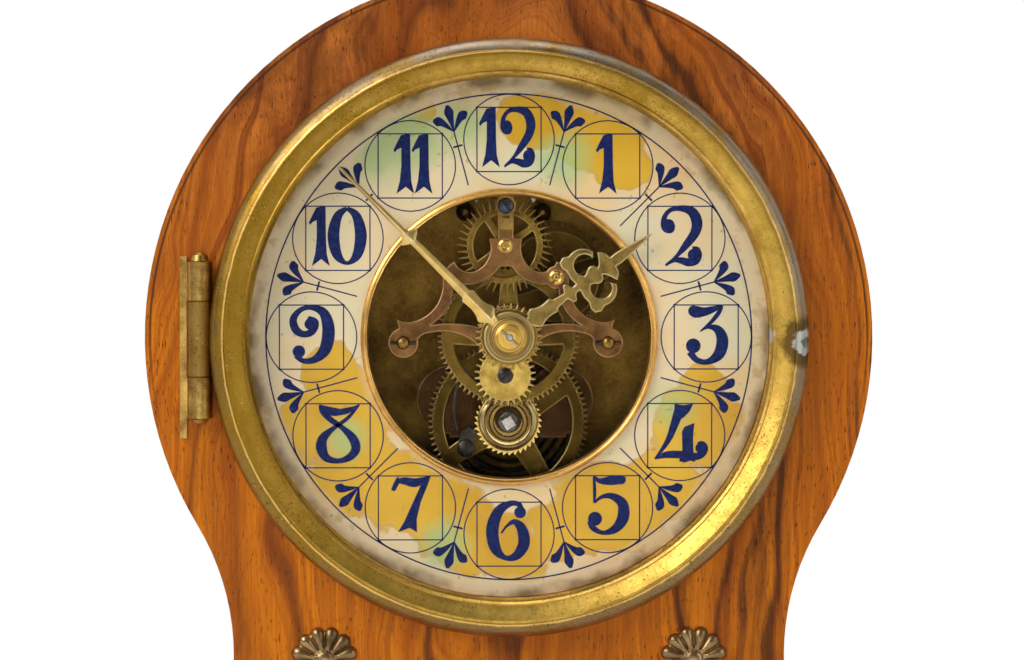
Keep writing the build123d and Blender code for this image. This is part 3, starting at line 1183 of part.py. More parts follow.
pendulum_rod.part.label = "pendulum_rod"

with BuildPart() as pendulum_bob:
    turned(
        [(0, PENDULUM_Y + BOB_T / 2), (BOB_R * 0.55, PENDULUM_Y + BOB_T / 2 - 0.8),
         (BOB_R * 0.85, PENDULUM_Y + BOB_T / 2 - 2.4), (BOB_R, PENDULUM_Y + 0.8), (BOB_R, PENDULUM_Y - 0.8),
         (BOB_R * 0.85, PENDULUM_Y - BOB_T / 2 + 2.4), (BOB_R * 0.55, PENDULUM_Y - BOB_T / 2 + 0.8),
         (0, PENDULUM_Y - BOB_T / 2)],
        ANCHOR_X, BOB_Z,
    )
    with BuildSketch(Plane(origin=(ANCHOR_X, PENDULUM_Y, AXIS_Z + BOB_Z - BOB_R - 1))) as bore:
        Circle(ROD_R + PIVOT_PLAY)
    extrude(bore.sketch, amount=2 * BOB_R + 2, mode=Mode.SUBTRACT)
pendulum_bob.part.label = "pendulum_bob"

with BuildPart() as rating_nut:
    with BuildSketch(Plane(origin=(ANCHOR_X, PENDULUM_Y, AXIS_Z + BOB_Z - BOB_R - 0.3 - NUT_H))):
        Circle(NUT_R)
        with PolarLocations(NUT_R, 12):
            Circle(0.5, mode=Mode.SUBTRACT)
        Circle(ROD_R + PIVOT_PLAY, mode=Mode.SUBTRACT)
    extrude(amount=NUT_H)
rating_nut.part.label = "rating_nut"

pieces = (
    plinth, feet, floor_board, front_board, side_band, back_board,
    back_door, door_hinge_leaf, door_fittings, turn_button, button_screw,
    rosettes, hinge_leaf, hinge_pin, bezel, glass, sight_ring, bezel_catch,
    dial_plate, dial, dial_rim, back_plate, movement_pillars, front_plate, pivot_bushes,
    plate_pillars, taper_pins, neck_block, neck_screw, barrel_bridge, back_posts, minute_stud,
    great_wheel, centre_wheel, centre_arbor, third_wheel, third_arbor, escape_wheel, escape_arbor,
    ratchet_wheel, winding_arbor, click, click_screw, click_spring, mainspring,
    cannon_pinion, minute_wheel, hour_wheel, hour_hand, minute_hand, hand_collet, hand_pin,
    anchor, anchor_arbor, crutch, suspension_cock, suspension_spring, pendulum_rod, pendulum_bob,
    rating_nut,
)
for piece in pieces:
    export_step(piece.part, f"parts/{piece.part.label}.step")
print(len(pieces), "nodes")
print("least gap in the mainspring", round(spring_pitch - SPRING_T, 2), "mm")
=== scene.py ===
import json
import math
import bpy
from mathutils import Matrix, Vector


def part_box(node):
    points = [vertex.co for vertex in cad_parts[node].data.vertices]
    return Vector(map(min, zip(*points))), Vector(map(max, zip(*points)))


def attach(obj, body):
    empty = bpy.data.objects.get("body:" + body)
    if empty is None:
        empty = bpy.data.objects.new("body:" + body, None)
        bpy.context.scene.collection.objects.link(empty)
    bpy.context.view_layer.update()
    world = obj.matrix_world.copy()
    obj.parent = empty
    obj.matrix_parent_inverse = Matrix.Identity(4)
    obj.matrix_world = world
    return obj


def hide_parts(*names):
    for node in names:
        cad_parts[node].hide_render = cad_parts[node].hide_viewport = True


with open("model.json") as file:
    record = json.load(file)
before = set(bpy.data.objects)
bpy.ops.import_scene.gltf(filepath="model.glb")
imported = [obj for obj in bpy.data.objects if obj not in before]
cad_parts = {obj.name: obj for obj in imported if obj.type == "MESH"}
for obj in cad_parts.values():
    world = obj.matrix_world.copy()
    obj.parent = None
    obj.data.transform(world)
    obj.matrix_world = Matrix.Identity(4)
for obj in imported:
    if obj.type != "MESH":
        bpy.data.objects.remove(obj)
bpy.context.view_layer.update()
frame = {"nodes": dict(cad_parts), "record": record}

MM = 0.001
AXIS_Z = 0.213            # height of the hands' axis
DIAL_Y = -0.0473          # front of the dial
RATCHET_Z = AXIS_Z - 0.0227
HEAD_EDGE_R = 0.0966      # the line along the edge of the case's head
RIDGE_R = 0.0767          # the bezel's ridge, partly worn, with a painted highlight along it

# Camera: a long lens a little left of and above the dial's centre
REACH = 1.05
VIEW_WIDTH = 0.2765
SIDE_ANGLE = math.radians(1.1)
RISE_ANGLE = math.radians(1.3)
aim = Vector((0.0008, DIAL_Y, AXIS_Z + 0.0019))
back_off = Vector((-math.sin(SIDE_ANGLE), -1, math.sin(RISE_ANGLE))).normalized()
camera = bpy.data.objects.new("camera", bpy.data.cameras.new("camera"))
bpy.context.collection.objects.link(camera)
camera.location = aim + back_off * REACH
camera.rotation_euler = back_off.to_track_quat("Z", "Y").to_euler()
camera.data.sensor_width = 36
camera.data.lens = 36 * REACH / VIEW_WIDTH
bpy.context.scene.camera = camera
bpy.context.scene.view_settings.view_transform = "Standard"


def softbox(name, place, towards, width, height, power):
    lamp = bpy.data.lights.new(name, "AREA")
    lamp.shape = "RECTANGLE"
    lamp.size = width
    lamp.size_y = height
    lamp.energy = power
    lit = bpy.data.objects.new(name, lamp)
    lit.location = place
    lit.rotation_euler = (Vector(place) - Vector(towards)).to_track_quat("Z", "Y").to_euler()
    bpy.context.collection.objects.link(lit)


HEART = (0, 0, 0.2)
softbox("key", (-0.85, -0.8, 0.95), HEART, 0.8, 0.8, 10.2)
softbox("fill", (0.95, -0.75, 0.55), HEART, 0.6, 0.9, 2.2)
softbox("front", (-0.1, -1.5, 0.12), HEART, 1.2, 0.3, 1.6)
softbox("over", (-0.1, -0.15, 1.35), HEART, 0.8, 0.6, 3.2)
softbox("back", (0.3, 1.1, 0.9), HEART, 0.9, 0.9, 5)

# World: soft light all round. The camera and reflections meet a white sweep behind the clock,
# and reflections meet a dimmer room in front of it
world = bpy.data.worlds.new("studio")
bpy.context.scene.world = world
world.use_nodes = True
sky = world.node_tree
sky.nodes.clear()
path = sky.nodes.new("ShaderNodeLightPath")
toward = sky.nodes.new("ShaderNodeTexCoord")
split = sky.nodes.new("ShaderNodeSeparateXYZ")
sky.links.new(toward.outputs["Generated"], split.inputs[0])
ROOM_GLOW, SWEEP_GLOW = 0.11, 1.0
sweep = sky.nodes.new("ShaderNodeMapRange")
for at, value in enumerate((0, -0.15, 0.25, ROOM_GLOW, SWEEP_GLOW)):
    sweep.inputs[at].default_value = value
sky.links.new(split.outputs["Y"], sweep.inputs[0])
backgrounds = []
for strength in (0.30, 1.0, 1.0):
    glow = sky.nodes.new("ShaderNodeBackground")
    glow.inputs["Color"].default_value = (1, 1, 1, 1)
    glow.inputs["Strength"].default_value = strength
    backgrounds.append(glow)
ambient, room, white = backgrounds
sky.links.new(sweep.outputs[0], room.inputs["Strength"])
shiny = sky.nodes.new("ShaderNodeMath")
shiny.operation = "MAXIMUM"
sky.links.new(path.outputs["Is Glossy Ray"], shiny.inputs[0])
sky.links.new(path.outputs["Is Transmission Ray"], shiny.inputs[1])
mirrored = sky.nodes.new("ShaderNodeMixShader")
choose = sky.nodes.new("ShaderNodeMixShader")
surroundings = sky.nodes.new("ShaderNodeOutputWorld")
sky.links.new(shiny.outputs[0], mirrored.inputs[0])
sky.links.new(ambient.outputs[0], mirrored.inputs[1])
sky.links.new(room.outputs[0], mirrored.inputs[2])
sky.links.new(path.outputs["Is Camera Ray"], choose.inputs[0])
sky.links.new(mirrored.outputs[0], choose.inputs[1])
sky.links.new(white.outputs[0], choose.inputs[2])
sky.links.new(choose.outputs[0], surroundings.inputs["Surface"])

SOCKETS = {
    "color": "Base Color", "rough": "Roughness", "metal": "Metallic", "normal": "Normal",
    "coat": "Coat Weight", "coat_rough": "Coat Roughness", "alpha": "Alpha", "gloss": "Specular IOR Level",
}


class Finish:
    """A node material on one Principled shader."""

    def __init__(self, name, **sockets):
        self.material = bpy.data.materials.new(name)
        self.material.use_nodes = True
        self.tree = self.material.node_tree
        self.shader = self.tree.nodes["Principled BSDF"]
        self.place = self.add("ShaderNodeTexCoord").outputs["Object"]
        self.set(**sockets)

    def set(self, **sockets):
        for key, value in sockets.items():
            self.put(self.shader.inputs[SOCKETS[key]], value)

    def put(self, socket, value):
        if isinstance(value, bpy.types.NodeSocket):
            self.tree.links.new(value, socket)
        elif socket.type == "RGBA":
            socket.default_value = (*value, 1)
        else:
            socket.default_value = value

    def add(self, kind, inputs=None, **settings):
        node = self.tree.nodes.new(kind)
        for key, value in settings.items():
            setattr(node, key, value)
        for key, value in (inputs or {}).items():
            self.put(node.inputs[key], value)
        return node

    def mapped(self, scale=(1, 1, 1), shift=(0, 0, 0), turn=(0, 0, 0)):
        inputs = {"Vector": self.place, "Scale": scale, "Location": shift, "Rotation": turn}
        return self.add("ShaderNodeMapping", inputs).outputs["Vector"]

    def noise(self, scale, detail=2, rough=0.5, where=None, warp=0):
        inputs = {"Vector": where or self.place, "Scale": scale, "Detail": detail,
                  "Roughness": rough, "Distortion": warp}
        return self.add("ShaderNodeTexNoise", inputs).outputs["Fac"]

    def line_noise(self, along, scale, detail=2, rough=0.5):
        inputs = {"W": along, "Scale": scale, "Detail": detail, "Roughness": rough}
        return self.add("ShaderNodeTexNoise", inputs, noise_dimensions="1D").outputs["Fac"]

    def radius(self, x=0.0, z=AXIS_Z):
        flat = self.mapped((1, 0, 1), (-x, 0, -z))
        return self.add("ShaderNodeVectorMath", {0: flat}, operation="LENGTH").outputs["Value"]

    def axis(self, letter):
        return self.add("ShaderNodeSeparateXYZ", {0: self.place}).outputs[letter]

    def maths(self, operation, a, b=0.0, c=0.0):
        return self.add("ShaderNodeMath", {0: a, 1: b, 2: c}, operation=operation).outputs[0]

    def level(self, value, low, high, to_low=0.0, to_high=1.0):
        inputs = {0: value, 1: low, 2: high, 3: to_low, 4: to_high}
        return self.add("ShaderNodeMapRange", inputs).outputs[0]

    def ramp(self, value, *stops):
        node = self.add("ShaderNodeValToRGB", {"Fac": value})
        marks = node.color_ramp.elements
        marks.remove(marks[1])
        marks[0].position = stops[0][0]
        marks[0].color = (*stops[0][1], 1)
        for at, color in stops[1:]:
            marks.new(at).color = (*color, 1)
        return node.outputs["Color"]

    def blend(self, amount, under, over):
        node = self.add("ShaderNodeMix", data_type="RGBA")
        self.put(node.inputs[0], amount)
        self.put(node.inputs[6], under)
        self.put(node.inputs[7], over)
        return node.outputs[2]

    def bump(self, height, depth, strength=1.0, over=None):
        inputs = {"Height": height, "Distance": depth, "Strength": strength}
        if over:
            inputs["Normal"] = over
        self.set(normal=self.add("ShaderNodeBump", inputs).outputs["Normal"])


def walnut(name, light, deep, head=None):
    """Polished walnut: rings upright at the sides and peaked at the top, with short dark pores."""
    wood = Finish(name, coat=0.05, coat_rough=0.2, gloss=0.12)
    across, high = wood.axis("X"), wood.axis("Z")
    arch = wood.add("ShaderNodeVectorMath", {0: wood.mapped((1, 0.35, 0.36), (0.006, 0, -0.046))},
                    operation="LENGTH").outputs["Value"]
    wander = wood.noise(16, 3, 0.6, wood.mapped((1, 1, 0.45)))
    arch = wood.maths("MULTIPLY_ADD", wander, 0.045, arch)
    ring = wood.line_noise(arch, 170, 5, 0.75)
    shade = wood.noise(22, 3, 0.6, wood.mapped((1, 1, 0.35)))
    tone = wood.blend(wood.level(ring, 0.36, 0.64), light, deep)
    ragged = wood.noise(300, 4, 0.75, wood.mapped((1, 1, 0.10)))
    if head:
        top = wood.level(high, 0.21, 0.28)
        tone = wood.blend(top, tone, wood.blend(wood.level(ring, 0.38, 0.62), *head))
        # dark figure, thickest over the shoulders of the head and down the right side
        curl = wood.noise(55, 5, 0.7, wood.mapped((1, 1, 0.8), turn=(0, 0.6, 0)), 0.6)
        cloudy = wood.maths("MULTIPLY", wood.level(curl, 0.46, 0.68), top)
        tone = wood.blend(wood.maths("MULTIPLY", cloudy, 0.75), tone, (0.085, 0.018, 0.004))
        right = wood.level(across, 0.02, 0.085, 0, 0.075)
        ragged = wood.maths("ADD", ragged, right)
    tone = wood.blend(wood.level(shade, 0.42, 0.66, 0, 0.6), tone, deep)
    streak = wood.line_noise(arch, 48, 3, 0.75)
    streak = wood.maths("MULTIPLY_ADD", ragged, 0.32, streak)
    dark = wood.level(streak, 0.68, 0.78, 0, 0.85)
    if head:
        dark = wood.maths("MULTIPLY", dark, wood.level(across, -0.08, 0.02, 0.45, 1))
    tone = wood.blend(dark, tone, (0.040, 0.012, 0.004))
    silk = wood.noise(1300, 3, 0.7, wood.mapped((1, 1, 0.045)))
    tone = wood.blend(wood.level(silk, 0.40, 0.68, 0, 0.42), tone, tuple(v * 0.45 for v in deep))
    fine = wood.noise(2300, 1, 0.5, wood.mapped((1, 1, 0.17)))
    pores = wood.level(fine, 0.64, 0.69)
    thin = wood.level(wood.noise(60, 2), 0.38, 0.62, 0.35, 1)
    pores = wood.maths("MULTIPLY", pores, thin)
    tone = wood.blend(wood.maths("MULTIPLY", pores, 0.9), tone, (0.030, 0.008, 0.003))
    if head:
        # the dark line along the edge of the head
        out = wood.radius()
        beside = wood.maths("ABSOLUTE", wood.maths("SUBTRACT", out, HEAD_EDGE_R))
        line = wood.level(beside, 0.0002, 0.0004, 0.8, 0)
        line = wood.maths("MULTIPLY", line, wood.level(high, 0.18, 0.22))
        tone = wood.blend(line, tone, (0.05, 0.018, 0.008))
    smear = wood.noise(30, 3, 0.6)
    wood.set(color=tone, rough=wood.level(smear, 0.3, 0.7, 0.34, 0.5))
    wood.bump(wood.maths("MULTIPLY", pores, -1), 0.00012, 0.6)
    return wood.material


def bare_wood(name, light, deep):
    """Unpolished wood with a close straight grain, darker where it has been handled."""
    wood = Finish(name, gloss=0.15)
    grain = wood.noise(420, 4, 0.65, wood.mapped((1, 1, 0.035)))
    broad = wood.noise(70, 3, 0.6, wood.mapped((1, 1, 0.10)))
    tone = wood.blend(wood.level(grain, 0.35, 0.66), light, deep)
    tone = wood.blend(wood.level(broad, 0.42, 0.66, 0, 0.6), tone, deep)
    lines = wood.level(wood.noise(1100, 2, 0.6, wood.mapped((1, 1, 0.05))), 0.60, 0.68, 0, 0.7)
    tone = wood.blend(lines, tone, tuple(v * 0.3 for v in deep))
    grime = wood.noise(25, 3, 0.6)
    tone = wood.blend(wood.level(grime, 0.48, 0.75, 0, 0.4), tone, (0.06, 0.03, 0.015))
    wood.set(color=tone, rough=wood.level(grime, 0.3, 0.7, 0.6, 0.85))
    wood.bump(grain, 0.0002, 0.5)
    return wood.material


def metal(name, bright, dull, rough=0.3, patches=90, dirt=0.5, edge=None, deep=False):
    """Old metal: bright where it is rubbed, dull in cloudy patches, with small dark specks and painted
    glints, optional painted shade deeper in the case, and optional bright edges that are partly rubbed and
    partly painted highlight.
    """
    worn = Finish(name, metal=1.0)
    cloud = worn.noise(patches, 6, 0.7)
    tone = worn.blend(worn.level(cloud, 0.5 - 0.25 * dirt, 0.66), bright, dull)
    fine = worn.noise(patches * 22, 3, 0.7)
    tone = worn.blend(worn.level(fine, 0.5, 0.72, 0, 0.8 * dirt), tone, tuple(v * 0.22 for v in dull))
    # painted glints: small bright specks painted into the colour stand in for sparkling highlights
    sparkle = worn.noise(patches * 30, 2, 0.6, worn.mapped(shift=(0.2, 0.1, 0)))
    glint = worn.level(sparkle, 0.62, 0.72, 0, 0.9 * dirt)
    tone = worn.blend(glint, tone, tuple(min(1, v * 1.7) for v in bright))
    if deep:
        # painted shade: further from the glass the brass is darkened, standing for the shade inside the case
        depth_shade = worn.level(worn.axis("Y"), -0.0438, -0.032, 0, 0.88)
        tone = worn.blend(depth_shade, tone, tuple(v * 0.16 for v in dull))
    rounded = None
    if edge:
        # bevelled edges lightened: partly rubbed brass, partly a painted highlight
        rounded = worn.add("ShaderNodeBevel", {"Radius": 0.0006}, samples=4).outputs[0]
        flat = worn.add("ShaderNodeNewGeometry").outputs["Normal"]
        alike = worn.add("ShaderNodeVectorMath", {0: rounded, 1: flat}, operation="DOT_PRODUCT")
        same = alike.outputs["Value"]
        tone = worn.blend(worn.level(same, 0.998, 0.975), tone, edge)
    worn.set(color=tone, rough=worn.level(cloud, 0.3, 0.7, rough, rough + 0.18))
    worn.bump(fine, 0.00004, dirt, rounded)
    return worn.material


def bezel_brass():
    """Lacquered brass, greyed on its outer band with a painted sheen at the top, with bright bands along its
    ridges that are partly wear and partly painted highlight, painted shade towards the left, painted light
    at the lower right and painted glints.
    """
    worn = Finish("bezel_brass", metal=1.0)
    out = worn.radius()
    across, high = worn.axis("X"), worn.axis("Z")
    cloud = worn.noise(110, 5, 0.7)
    edge = worn.maths("MULTIPLY_ADD", worn.maths("SUBTRACT", cloud, 0.5), 0.0010, out)
    # the narrow bright bands across the profile are partly wear and partly painted highlights along the
    # ridges and the inner edge
    zones = worn.ramp(worn.level(edge, 0.069, 0.081),
                      (0.0, (0.34, 0.184, 0.04)), (0.10, (0.5, 0.276, 0.05)), (0.15, (1, 0.662, 0.2)),
                      (0.20, (0.6, 0.35, 0.06)), (0.36, (0.8, 0.497, 0.1)), (0.52, (0.5, 0.304, 0.05)),
                      (0.59, (0.3, 0.175, 0.03)), (0.64, (1, 0.699, 0.26)), (0.68, (0.3, 0.184, 0.06)),
                      (0.90, (0.46, 0.304, 0.12)), (1.0, (0.7, 0.478, 0.22)))
    top = worn.level(high, 0.17, 0.28)
    outer = worn.level(edge, 0.0768, 0.0777)
    # grey on the outer band, strongest at the top: partly grey tarnish, partly a painted sheen
    grey_and_sheen = worn.maths("MULTIPLY", outer, worn.level(top, 0, 1, 0.1, 0.9))
    zones = worn.blend(grey_and_sheen, zones, (0.37, 0.32, 0.27))
    dull = worn.level(worn.noise(75, 6, 0.75), 0.44, 0.62, 0, 0.8)
    zones = worn.blend(dull, zones, (0.36, 0.193, 0.015))
    # darker towards the left: partly tarnish near the hinge, partly painted shade
    left = worn.level(across, 0.01, -0.075, 0, 0.80)
    zones = worn.blend(left, zones, worn.blend(cloud, (0.17, 0.085, 0.005), (0.48, 0.27, 0.022)))
    # painted light: a bright pool painted on the lower right of the bezel
    lower_right = worn.maths("SUBTRACT", across, worn.maths("SUBTRACT", high, AXIS_Z))
    lit = worn.level(lower_right, -0.02, 0.08, 0, 0.6)
    lit = worn.maths("MULTIPLY", lit, worn.level(cloud, 0.36, 0.60, 1, 0.35))
    lit = worn.maths("MULTIPLY", lit, worn.level(edge, 0.0775, 0.0768))
    zones = worn.blend(lit, zones, (1, 0.644, 0.13))
    # a bright line along the ridge: partly wear, partly a painted highlight
    ridge = worn.level(worn.maths("ABSOLUTE", worn.maths("SUBTRACT", edge, RIDGE_R)), 0.0001, 0.0004, 0.8, 0)
    zones = worn.blend(ridge, zones, (1, 0.662, 0.2))
    long = worn.level(worn.noise(45, 3, 0.6), 0.4, 0.62, 0.2, 0.95)
    specks = worn.level(worn.noise(1500, 3, 0.75), 0.56, 0.66)
    zones = worn.blend(worn.maths("MULTIPLY", specks, long), zones, (0.07, 0.032, 0.008))
    # painted glints: small bright specks
    glint = worn.level(worn.noise(2200, 2, 0.6), 0.66, 0.74, 0, 0.7)
    zones = worn.blend(glint, zones, (1, 0.718, 0.3))
    # an old soldered repair at the right, grey with a dark scorched border
    mend = worn.radius(0.0790, AXIS_Z - 0.0010)
    mend = worn.maths("MULTIPLY_ADD", worn.maths("SUBTRACT", worn.noise(260, 4, 0.7), 0.5), 0.006, mend)
    zones = worn.blend(worn.level(mend, 0.0055, 0.0075, 0.85, 0), zones, (0.12, 0.064, 0.02))
    zones = worn.blend(worn.level(mend, 0.0030, 0.0036, 0.95, 0), zones, (0.62, 0.62, 0.56))
    zones = worn.blend(worn.level(mend, 0.0010, 0.0014, 0.8, 0), zones, (0.10, 0.16, 0.11))
    chip = worn.radius(0.0685, AXIS_Z + 0.0004)
    chip = worn.maths("MULTIPLY_ADD", worn.noise(400, 3, 0.7), 0.004, chip)
    zones = worn.blend(worn.level(chip, 0.0040, 0.0046, 0.9, 0), zones, (0.70, 0.68, 0.60))
    worn.set(color=zones, rough=worn.level(cloud, 0.3, 0.7, 0.30, 0.52))
    worn.bump(worn.noise(420, 4, 0.65), 0.00012, 0.7)
    return worn.material


def hub_brass():
    """Turned brass: rings of different polish about the hands' axis."""
    worn = Finish("hub_brass", metal=1.0)
    out = worn.radius()
    zones = worn.ramp(worn.level(out, 0, 0.0072),
                      (0.0, (1.0, 0.80, 0.42)), (0.20, (1.0, 0.70, 0.20)), (0.25, (0.98, 0.58, 0.10)),
                      (0.42, (1.0, 0.62, 0.13)), (0.47, (0.48, 0.26, 0.04)), (0.51, (1.0, 0.68, 0.20)),
                      (0.62, (0.75, 0.46, 0.10)), (0.66, (0.20, 0.12, 0.03)), (0.72, (0.62, 0.45, 0.17)),
                      (0.86, (0.40, 0.28, 0.09)), (0.93, (0.85, 0.64, 0.28)), (1.0, (0.40, 0.28, 0.09)))
    turned = worn.line_noise(out, 9000, 2, 0.6)
    zones = worn.blend(worn.level(turned, 0.45, 0.7, 0, 0.4), zones, (0.30, 0.17, 0.03))
    stain = worn.noise(900, 3, 0.7)
    zones = worn.blend(worn.level(stain, 0.60, 0.72, 0, 0.5), zones, (0.20, 0.11, 0.03))
    worn.set(color=zones, rough=0.40)
    worn.bump(turned, 0.00002, 0.5)
    return worn.material


def ratchet_brass():
    """The ratchet wheel: gold teeth, a polished collar with a bright band that is partly painted highlight,
    and a middle darkened as painted shade round the arbor.
    """
    worn = Finish("ratchet_brass", metal=1.0)
    out = worn.radius(0, RATCHET_Z)
    # the dark middle is painted shade round the arbor; the bright collar band is partly polish, partly a
    # painted highlight
    zones = worn.ramp(worn.level(out, 0, 0.0100),
                      (0.0, (0.03, 0.018, 0.008)), (0.36, (0.04, 0.024, 0.010)), (0.40, (0.34, 0.22, 0.06)),
                      (0.58, (0.16, 0.10, 0.03)), (0.64, (0.30, 0.19, 0.05)), (0.67, (1.0, 0.80, 0.40)),
                      (0.78, (0.62, 0.44, 0.16)), (0.81, (0.10, 0.055, 0.015)), (0.85, (0.72, 0.48, 0.12)),
                      (1.0, (1.0, 0.74, 0.26)))
    stain = worn.noise(500, 4, 0.7)
    zones = worn.blend(worn.level(stain, 0.54, 0.70, 0, 0.7), zones, (0.14, 0.08, 0.02))
    worn.set(color=zones, rough=0.26)
    worn.bump(worn.line_noise(out, 7000, 2), 0.00002, 0.5)
    return worn.material


# Where the yellow and the green glaze ran, in millimetres from the middle of the dial
YELLOW_POOLS = ((6, 58, 8), (25, 52, 12.5), (54, -12, 6), (-50, -9, 8), (-44, -22, 13), (-30, -42, 14),
                (-14, -53, 11), (2, -57, 10), (12, -52, 9), (27, -46, 15), (42, -40, 10), (54, -26, 11),
                (36, -54, 7), (-56, -20, 6), (-45, -42, 8), (-24, 60, 4))
GREEN_POOLS = ((-29, 53, 9), (-36, 48, 5), (-12, 58, 7), (14, 49, 6), (44, -19, 7), (-44, -28, 5.5),
               (-17, -56, 6))


def pools(glaze, spots, rough, soft):
    """How far each place lies inside any of the round pools, with a wandering outline."""
    inside = None
    for x, z, r in spots:
        far = glaze.radius(x * MM, AXIS_Z + z * MM)
        far = glaze.maths("MULTIPLY_ADD", far, 1 / (r * MM), rough)
        depth = glaze.level(far, 1.0 + soft, 1.0 - soft)
        inside = glaze.maths("MAXIMUM", inside, depth) if inside else depth
    return inside


def glazed_dial():
    """Cream glaze with watery yellow and green pools and a stained rim."""
    glaze = Finish("dial_glaze", coat=0.25, coat_rough=0.06, rough=0.35, gloss=0.2)
    drift = glaze.noise(60, 4, 0.5)
    rough = glaze.level(drift, 0.3, 0.7, -0.45, 0.45)
    yellow = pools(glaze, YELLOW_POOLS, rough, 0.09)
    green = pools(glaze, GREEN_POOLS, glaze.level(drift, 0.3, 0.7, 0.4, -0.4), 0.5)
    wet = glaze.noise(30, 4, 0.55, glaze.mapped(shift=(0.3, 0, 0.1)))
    cream = glaze.blend(glaze.level(wet, 0.4, 0.6), (0.92, 0.72, 0.42), (0.82, 0.74, 0.46))
    warm = glaze.level(glaze.noise(38, 3, 0.5, glaze.mapped(shift=(0.1, 0.2, 0))), 0.46, 0.62, 0, 0.55)
    cream = glaze.blend(warm, cream, (0.95, 0.58, 0.20))
    ochre = glaze.blend(glaze.level(wet, 0.35, 0.65), (0.88, 0.53, 0.040), (0.70, 0.38, 0.012))
    tone = glaze.blend(yellow, cream, ochre)
    lip = glaze.level(glaze.maths("ABSOLUTE", glaze.maths("SUBTRACT", yellow, 0.6)), 0.1, 0.4, 0.45, 0)
    tone = glaze.blend(lip, tone, (0.62, 0.30, 0.02))
    tone = glaze.blend(glaze.maths("MULTIPLY", green, 0.75), tone, (0.44, 0.62, 0.24))
    out = glaze.radius()
    edge = glaze.maths("MULTIPLY_ADD", glaze.noise(90, 4, 0.6), 0.007, out)
    tone = glaze.blend(glaze.level(edge, 0.0680, 0.0705, 0, 0.8), tone, (0.86, 0.70, 0.42))
    tone = glaze.blend(glaze.level(edge, 0.0455, 0.0425, 0, 0.6), tone, (0.86, 0.74, 0.50))
    patch = glaze.level(glaze.noise(65, 3), 0.42, 0.56)
    stain = glaze.maths("MULTIPLY", glaze.level(edge, 0.0705, 0.0730), patch)
    tone = glaze.blend(glaze.maths("MULTIPLY", stain, 0.85), tone, (0.24, 0.15, 0.05))
    blot = glaze.level(glaze.noise(160, 3, 0.6), 0.58, 0.66)
    blot = glaze.maths("MULTIPLY", blot, glaze.level(out, 0.0640, 0.0670, 0, 0.5))
    tone = glaze.blend(blot, tone, (0.55, 0.34, 0.10))
    fleck = glaze.level(glaze.noise(500, 2, 0.6), 0.68, 0.74, 0, 0.5)
    tone = glaze.blend(fleck, tone, (0.42, 0.26, 0.07))
    glaze.set(color=tone)
    glaze.bump(glaze.noise(70, 3), 0.0003, 0.4)
    return glaze.material


def dial_blue():
    """Dark blue paint, thinner in places."""
    blue = Finish("dial_blue", rough=0.4, gloss=0.2)
    wash = blue.noise(700, 4, 0.7)
    thin = blue.level(wash, 0.42, 0.7, 0, 0.9)
    blue.set(color=blue.blend(thin, (0.002, 0.009, 0.085), (0.014, 0.034, 0.19)))
    return blue.material


def clear_glass():
    """Thin clear glass that hardly shows."""
    pane = Finish("glass", color=(0.0, 0.0, 0.0), rough=0.03, alpha=0.012)
    pane.material.surface_render_method = "BLENDED"
    return pane.material


